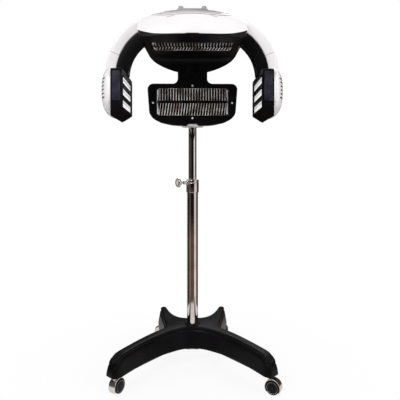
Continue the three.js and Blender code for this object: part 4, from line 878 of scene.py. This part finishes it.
class PROCESSOR_OT_hood(bpy.types.Operator):
    """Builds the hood's white shell, black underside and top heater"""

    bl_idname = "processor.hood"
    bl_label = "Hood"

    def execute(self, context):
        wires = context.scene.processor_sizes.wires
        crown = hood_skin()
        sheets = [sheet_of(at_head(crown), wrap=False)]
        for column in (0, -1):
            curve = crown[:FRONT_ROWS + REAR_ROWS - 1, column]
            foot = curve.copy()
            foot[:, 2] = rim_height(END_X)
            steps = np.linspace(0, 1, 6)[:, None, None]
            sheets.append(sheet_of(at_head(curve + (foot - curve) * steps), wrap=False))
        piece("hood_crown", sheets, "white", "head", ["hood_shell"], wall=4, bevel=1.2)
        # The beads stand in for grooves in the dome: their dark finish is painted shade.
        beads = [sheet_of(at_head(hood_groove(BEAD_W + BEAD_STEP_W * i, BEAD_D + BEAD_STEP_D * i, BEAD_R)))
                 for i in range(BEAD_COUNT)]
        piece("hood_beads", beads, "shade", "head", sharp=60)
        # Painted shade: the vent slots are thin grey sheets laid on the dome, standing for the shade inside
        # the openings.
        slots = []
        for _, side in SIDES:
            x = side * SLOT_X + np.linspace(-SLOT_HALF, SLOT_HALF, 14)[None, :] + np.zeros((3, 1))
            y = SLOT_Y + np.linspace(-1.3, 1.3, 3)[:, None] + 0.004 * (x - side * SLOT_X) ** 2
            slots.append(sheet_of(at_head(np.stack([x, y, dome_height(x, y) + 0.25], -1)), wrap=False))
        piece("hood_slots", slots, "grey", "head")
        catch = stacked(rounded_rect(46, 4.4, 1.8), [(0, -3), (0, 1.4), (-0.5, 2.2), (-1.3, 2.4)])
        catch = laid(catch, *FRONT_VIEW) + CATCH_AT
        piece("hood_catch", [sheet_of(at_head(catch), caps=(-1,))], "black", "head")
        copied("underside_cover", "hood_underside", "black", "head", 1.5, 30)

        def place(points):
            return at_head(laid(points, (1, 0, 0), (0, -1, 0), (0, 0, -1)) + HOOD_MODULE)

        heater("hood", "top_guard", "hood_heater_ends", "wire", wires, place)
        for name, y in (("front", -272.4), ("rear", -210.7)):
            ends = [(x, y, HOOD_TUBE_Z) for x in (-TUBE_HALF, TUBE_HALF)]
            heating_tube(f"hood_tube_{name}", *ends, TUBE_R, "head", f"top_element_{name}")
        repaint("dim", "top_reflector")
        repaint("nylon", "arm_guide_left", "arm_guide_right")
        return {"FINISHED"}


DIAL_X, DIAL_Y, DIAL_RIBS, PLATE_TOP = 44, -272, 16, 417
BUTTON_X, BUTTON_Y = 18, -212


class PROCESSOR_OT_controls(bpy.types.Operator):
    """Builds the control plate, its dials, switch and button"""

    bl_idname = "processor.controls"
    bl_label = "Controls"

    def execute(self, context):
        copied("control_panel", "control_plate", "grey", "head", 0.8)
        copied("display_window", "control_display", "glass", "head", 0.4)
        copied("power_switch", "control_rocker", "black", "switch", 0.8)
        repaint("board", "control_board")
        dial = soften([(0.1, -9), (3, -9), (3, 0.3), (10, 0.3), (10, 1.5), (9.2, 11.2), (7.8, 13.3),
                       (0.1, 13.3)], 0.9, 5)
        for name, x, body in (("timer", -DIAL_X, "timer_dial"), ("heat", DIAL_X, "heat_dial")):
            grid = turned(dial, 48)
            ribs = 1 + 0.02 * np.cos(DIAL_RIBS * np.arctan2(grid[..., 1], grid[..., 0])) * (grid[..., 2] > 1)
            grid[..., :2] *= np.minimum(ribs, 1.0)[..., None]
            put = grid + [x, DIAL_Y, PLATE_TOP]
            piece(f"control_dial_{name}", [sheet_of(at_head(put))], "grey", body,
                  [f"{name}_knob"])
        button = soften([(0.1, -6.5), (6, -6.5), (6, 1.6), (5, 2.5), (0.1, 2.1)], 0.8, 5)
        put = turned(button, 40) + [BUTTON_X, BUTTON_Y, PLATE_TOP]
        piece("control_button", [sheet_of(at_head(put))], "grey", "button", ["start_button"])
        return {"FINISHED"}


# Side arms

ARM_X, ARM_Z = 88.7, 172.0
ARM_FRONT_Y, ARM_BACK_Y = -266.0, -206.0
LAMP_Y, LAMP_Z, LAMP_OUT_X = -246.5, 104.0, 288.3
BULGE = np.array([45.0, 136.5, 92.0])
BULGE_POWER = 2.7
ARM_R_IN, ARM_R_MID, ARM_R_OUT, ARM_GAP, ARM_ROUND = 155, 201, 240, 0.3, 5
CORE_START, SLEEVE_END, COVER_START = 1.3, 22, 22.3  # degrees
SLOPE_Z, SLOPE, END_GAP = 318, 1.67, 0.6
WINDOW_ROWS = (("lower", 55.0), ("middle", 98.0), ("upper", 141.0))
WINDOW_X, WINDOW_W, WINDOW_H = 248, 231, 30
LAMP_TUBE_X, LAMP_TUBE_ENDS, LAMP_TUBE_R = 259.8, (-370.4, -122.6), 6.5
FACE_X, FACE_Y, FACE_Z, FACE_W, FACE_H = 268, -383, 113, 30, 104
VENT_HALF, VENT_Z, VENT_PITCH = 126, 74, 13.5
TONGUE_R_IN, TONGUE_R_OUT, TONGUE_INSET_Y, TONGUE_ROUND = 160.0, 195.0, 16.0, 1.5
TONGUE_START, TONGUE_END = 40.0, 80.0


def bent(r_in, r_out, start, side, radius, stop=None, inset=0.0):
    """A section between two radii and two depths, carried round the arm's centre from an angle to another or
    to the hood: then each point stops where it meets the hood's end plane or the slope below it."""
    front, rear = ARM_FRONT_Y + inset, ARM_BACK_Y - inset
    section = soften([(r_in, front), (r_out, front), (r_out, rear), (r_in, rear)], radius, 6, closed=True)
    r, y = section[None, :, 0], section[None, :, 1]
    scan = np.radians(np.linspace(25, 75, 500))[:, None]
    x, z = ARM_X + r * np.cos(scan), ARM_Z + r * np.sin(scan)
    inside = (x < END_X + END_GAP) & (z > SLOPE_Z + SLOPE * (x - END_X))
    end = scan[np.argmax(inside, axis=0), 0][None, :]
    if stop is not None:
        end = np.full_like(end, math.radians(stop))
    turn = math.radians(start) + (end - math.radians(start)) * np.linspace(0, 1, 30)[:, None]
    return np.stack([side * (ARM_X + r * np.cos(turn)), y + 0 * turn, ARM_Z + r * np.sin(turn)], -1)


def bulge_depth(y, z):
    """How far the lamp's back stands out: depth (1 - |y / width|^p - |z / height|^p)^(1/p)."""
    left = np.clip(1 - np.abs(y / BULGE[1]) ** BULGE_POWER - np.abs(z / BULGE[2]) ** BULGE_POWER, 0, 1)
    return BULGE[0] * left ** (1 / BULGE_POWER)


def bulge(side):
    """Back of a side lamp: half of a ball whose points are drawn out by the power mean of their parts."""
    u = np.linspace(0.001, math.pi / 2, 26)[:, None]
    v = np.linspace(0, FULL, 80, endpoint=False)[None, :]
    ball = np.stack([np.cos(u) + 0 * v, np.sin(u) * np.cos(v), np.sin(u) * np.sin(v)], -1)
    size = (np.abs(ball) ** BULGE_POWER).sum(-1, keepdims=True) ** (1 / BULGE_POWER)
    return ball / size * BULGE * [side, 1, 1] + [side * LAMP_OUT_X, LAMP_Y, LAMP_Z]


class PROCESSOR_OT_arms(bpy.types.Operator):
    """Builds both sliding arms with their lamps"""

    bl_idname = "processor.arms"
    bl_label = "Side arms and lamps"

    def execute(self, context):
        for label, side in SIDES:
            body = f"{label}_arm"
            core = bent(ARM_R_IN, ARM_R_MID, CORE_START, side, ARM_ROUND)
            tongue = bent(TONGUE_R_IN, TONGUE_R_OUT, TONGUE_START, side, TONGUE_ROUND, TONGUE_END,
                          TONGUE_INSET_Y)
            inner = [sheet_of(at_head(form), caps=(0, -1)) for form in (core, tongue)]
            piece(f"arm_inner_{label}", inner, "black", body, [f"arm_core_{label}"])
            cover = bent(ARM_R_MID + ARM_GAP, ARM_R_OUT, COVER_START, side, ARM_ROUND)
            piece(f"arm_outer_{label}", [sheet_of(at_head(cover), caps=(0, -1))], "white", body,
                  [f"arm_cover_{label}"])
            sleeve = bent(ARM_R_MID + ARM_GAP, ARM_R_OUT, 0, side, ARM_ROUND, stop=SLEEVE_END)
            back = [sheet_of(at_head(bulge(side)), caps=(-1,)), sheet_of(at_head(sleeve), caps=(0, -1))]
            piece(f"lamp_back_{label}", back, "white", body, [f"lamp_shell_{label}"])
            # Painted shade: the lamp backs' vent slots are black sheets laid just over the bulge, standing
            # for the shade inside the openings.
            slots = []
            ends = np.linspace(-0.9, 0.9, 4)[:, None]
            for i in range(6):
                z = VENT_Z + VENT_PITCH * i - LAMP_Z + 2.8 * ends
                y = VENT_HALF * np.linspace(-1, 1, 90)[None, :] * np.sqrt(1 - 0.05 * ends ** 4)
                out = side * (LAMP_OUT_X + bulge_depth(y, z) + 0.2)
                points = np.stack([out, y + LAMP_Y, z + LAMP_Z + 0 * y], -1)
                slots.append(sheet_of(at_head(points), wrap=False))
            piece(f"lamp_vents_{label}", slots, "black", body)
            copied(f"lamp_box_{label}", f"lamp_housing_{label}", "matt", body, 2.2)

            def on_inner(points):
                inner_face = laid(points, (0, side, 0), (0, 0, 1), (-side, 0, 0))
                return at_head(inner_face + [side * WINDOW_X, LAMP_Y, 0])

            window = rounded_rect(WINDOW_W, WINDOW_H, 4)
            frames = [ring_on(window + [0, z], on_inner, 1.3) for _, z in WINDOW_ROWS]
            piece(f"lamp_frames_{label}", frames, "matt", body)
            face = stacked(rounded_rect(FACE_W, FACE_H, 4), [(0, -0.4), (0, 0.6), (-0.5, 1.2), (-1.4, 1.4)])
            face = laid(face, *FRONT_VIEW) + [side * FACE_X, FACE_Y, FACE_Z]
            piece(f"lamp_face_{label}", [sheet_of(at_head(face), caps=(-1,))], "gloss", body)
            repaint("foil", f"lamp_reflector_{label}")
            for name, z in WINDOW_ROWS:
                ends = [(side * LAMP_TUBE_X, y, z) for y in LAMP_TUBE_ENDS]
                heating_tube(f"lamp_glow_{name}_{label}", *ends, LAMP_TUBE_R, body,
                             f"lamp_tube_{name}_{label}", "lamp")
        return {"FINISHED"}


# Stage

def light(name, place, aim, size, power):
    """A soft square lamp aimed at a point."""
    data = bpy.data.lights.new(name, "AREA")
    data.shape = "SQUARE"
    data.size = size
    data.energy = power
    obj = in_scene(name, data)
    obj.location = place
    obj.rotation_euler = (Vector(aim) - Vector(place)).to_track_quat("-Z", "Y").to_euler()
    return obj


def white_to_view(tree):
    """One for camera, glossy and transmission rays, which see plain white instead of a lit surface."""
    path = tree.nodes.new("ShaderNodeLightPath").outputs
    glossy = shader_node(tree, "ShaderNodeMath", {
        0: path["Is Glossy Ray"], 1: path["Is Transmission Ray"]}, operation="ADD")
    seen = shader_node(tree, "ShaderNodeMath", {
        0: path["Is Camera Ray"], 1: glossy.outputs[0]}, operation="ADD", use_clamp=True)
    return seen.outputs[0]


SCREENS = (("left_front", -75, -34, (0.1, 0.095, 0.09), (0.27, 0.21, 0.17)),
           ("front", -34, 34, (0.01, 0.01, 0.01), (0.15, 0.1, 0.07)),
           ("right_rear", 82, 158, (0.09, 0.06, 0.045), (0.17, 0.085, 0.06)),
           ("left", -122, -75, (0.012, 0.01, 0.01), (0.03, 0.02, 0.016)),
           ("left_rear", -158, -134, (0.012, 0.01, 0.01), (0.03, 0.02, 0.016)),
           ("rear", 158, 202, (0.02, 0.016, 0.014), (0.05, 0.036, 0.028)))
SCREEN_NEAR, SCREEN_FAR, SCREEN_LOW, SCREEN_HEIGHT = 0.62, 3.7, 0.004, 3.4
GRADE_LOW, GRADE_HIGH = 0.15, 0.7
AMBIENT, FLOOR_REACH = 0.42, 14.0
FLOOR_LOOK = {"Base Color": (0.9, 0.9, 0.9, 1), "Roughness": 0.9}
FLOOR_FADE = {"From Min": 0.25, "From Max": 0.95, "To Min": 0.9, "To Max": 1.0}
CAMERA_AWAY, CAMERA_Z, CAMERA_TURN, CAMERA_SHIFT = 1.95, 0.848, -0.963, -0.0875


def screen(name, start, end, colour, low_colour):
    """A curved screen round the object with a strip of floor before it, seen only in reflections: angles
    from the view, to the right, and a colour that changes over its lowest part."""
    turn = np.radians(np.linspace(start, end, 24))[None, :]
    reach = np.array([[SCREEN_NEAR], [SCREEN_FAR], [SCREEN_FAR]])
    high = np.array([[SCREEN_LOW], [SCREEN_LOW], [SCREEN_HEIGHT]])
    points = np.stack([reach * np.sin(turn), MAST_Y - reach * np.cos(turn), high + 0 * turn], -1)
    rows, columns = points.shape[:2]
    mesh = bpy.data.meshes.new(f"screen_{name}")
    mesh.from_pydata(points.reshape(-1, 3).tolist(), [], quads_of(rows, columns, False, 0))
    material, tree = node_material(f"Screen {name}")
    place = tree.nodes.new("ShaderNodeTexCoord").outputs["Object"]
    parts = shader_node(tree, "ShaderNodeSeparateXYZ", {0: place})
    share = shader_node(tree, "ShaderNodeMapRange", {
        "Value": parts.outputs["Z"], "From Min": GRADE_LOW, "From Max": GRADE_HIGH})
    mix = shader_node(tree, "ShaderNodeMix", {
        "Factor": share.outputs["Result"], "A": (*low_colour, 1), "B": (*colour, 1)}, data_type="RGBA")
    glow = shader_node(tree, "ShaderNodeEmission", {"Color": mix.outputs["Result"]})
    plug(tree.nodes["Material Output"], {"Surface": glow.outputs[0]})
    mesh.materials.append(material)
    obj = in_scene(f"screen_{name}", mesh)
    for ray in ("camera", "diffuse", "transmission", "shadow"):
        setattr(obj, f"visible_{ray}", False)


class PROCESSOR_OT_stage(bpy.types.Operator):
    """Makes the floor, the backdrop, the lamps and the camera"""

    bl_idname = "processor.stage"
    bl_label = "Stage"

    def execute(self, context):
        scene = context.scene
        scene.view_settings.view_transform = "Standard"
        world = bpy.data.worlds.new("Studio")
        scene.world = world
        world.use_nodes = True
        tree = world.node_tree
        ambient = tree.nodes["Background"]
        plug(ambient, {"Color": WHITE, "Strength": AMBIENT})
        white = shader_node(tree, "ShaderNodeBackground", {"Color": WHITE, "Strength": 1.0})
        mix = shader_node(tree, "ShaderNodeMixShader", {
            0: white_to_view(tree), 1: ambient.outputs[0], 2: white.outputs[0]})
        plug(tree.nodes["World Output"], {"Surface": mix.outputs[0]})

        ground, tree = node_material("Studio floor")
        base = tree.nodes["Principled BSDF"]
        plug(base, FLOOR_LOOK)
        glow = shader_node(tree, "ShaderNodeEmission", {"Strength": 1.0})
        place = tree.nodes.new("ShaderNodeTexCoord").outputs["Object"]
        far = shader_node(tree, "ShaderNodeVectorMath", {0: place}, operation="LENGTH")
        fade = shader_node(tree, "ShaderNodeMapRange", {"Value": far.outputs["Value"], **FLOOR_FADE},
                           interpolation_type="SMOOTHSTEP")
        share = shader_node(tree, "ShaderNodeMath", {0: white_to_view(tree), 1: fade.outputs[0]},
                            operation="MULTIPLY")
        mix = shader_node(tree, "ShaderNodeMixShader", {
            0: share.outputs[0], 1: base.outputs[0], 2: glow.outputs[0]})
        plug(tree.nodes["Material Output"], {"Surface": mix.outputs[0]})
        mesh = bpy.data.meshes.new("floor")
        corners = [(x * FLOOR_REACH, y * FLOOR_REACH, 0) for x, y in ((-1, -1), (1, -1), (1, 1), (-1, 1))]
        mesh.from_pydata(corners, [], [(0, 1, 2, 3)])
        mesh.materials.append(ground)
        floor = in_scene("floor", mesh)

        for settings in SCREENS:
            screen(*settings)
        aim = (0, 0, 0.9)
        light("Key", (-1.7, -2.6, 3.0), aim, 1.6, 60)
        light("Fill", (2.2, -2.2, 2.2), aim, 1.8, 38).visible_glossy = False
        light("Back", (0.4, 2.4, 2.6), (0, 0, 1.1), 1.6, 34)

        view = bpy.data.cameras.new("view")
        view.lens = scene.processor_sizes.lens
        view.sensor_width = 36
        view.shift_y = CAMERA_SHIFT
        camera = in_scene("view", view)
        camera.location = (0, MAST_Y - CAMERA_AWAY, CAMERA_Z)
        camera.rotation_euler = (math.radians(90), 0, math.radians(CAMERA_TURN))
        scene.camera = camera
        return {"FINISHED"}


class PROCESSOR_PT_panel(bpy.types.Panel):
    """Lists the pieces in the sidebar"""

    bl_label = "Hair color processor"
    bl_space_type = "VIEW_3D"
    bl_region_type = "UI"
    bl_category = "Processor"

    def draw(self, context):
        column = self.layout.column()
        for step in STEPS:
            column.operator(step.bl_idname)
        for group in (context.scene.processor_sizes, context.scene.processor_colours):
            for name in group.__annotations__:
                column.prop(group, name)


STEPS = (PROCESSOR_OT_finishes, PROCESSOR_OT_stage, PROCESSOR_OT_base, PROCESSOR_OT_mast,
         PROCESSOR_OT_casters, PROCESSOR_OT_rear_lamp, PROCESSOR_OT_hood, PROCESSOR_OT_controls,
         PROCESSOR_OT_arms)
CLASSES = (ProcessorColours, ProcessorSizes, *STEPS, PROCESSOR_PT_panel)


def register():
    """Adds the classes and the two groups of settings to the scene."""
    for item in CLASSES:
        bpy.utils.register_class(item)
    bpy.types.Scene.processor_colours = PointerProperty(type=ProcessorColours)
    bpy.types.Scene.processor_sizes = PointerProperty(type=ProcessorSizes)


def unregister():
    """Removes what register added."""
    del bpy.types.Scene.processor_sizes
    del bpy.types.Scene.processor_colours
    for item in reversed(CLASSES):
        bpy.utils.unregister_class(item)


def main():
    """Builds the pieces in order."""
    register()
    for step in (bpy.ops.processor.finishes, bpy.ops.processor.stage, bpy.ops.processor.base,
                 bpy.ops.processor.mast, bpy.ops.processor.casters, bpy.ops.processor.rear_lamp,
                 bpy.ops.processor.hood, bpy.ops.processor.controls, bpy.ops.processor.arms):
        step()


if __name__ == "__main__":
    main()
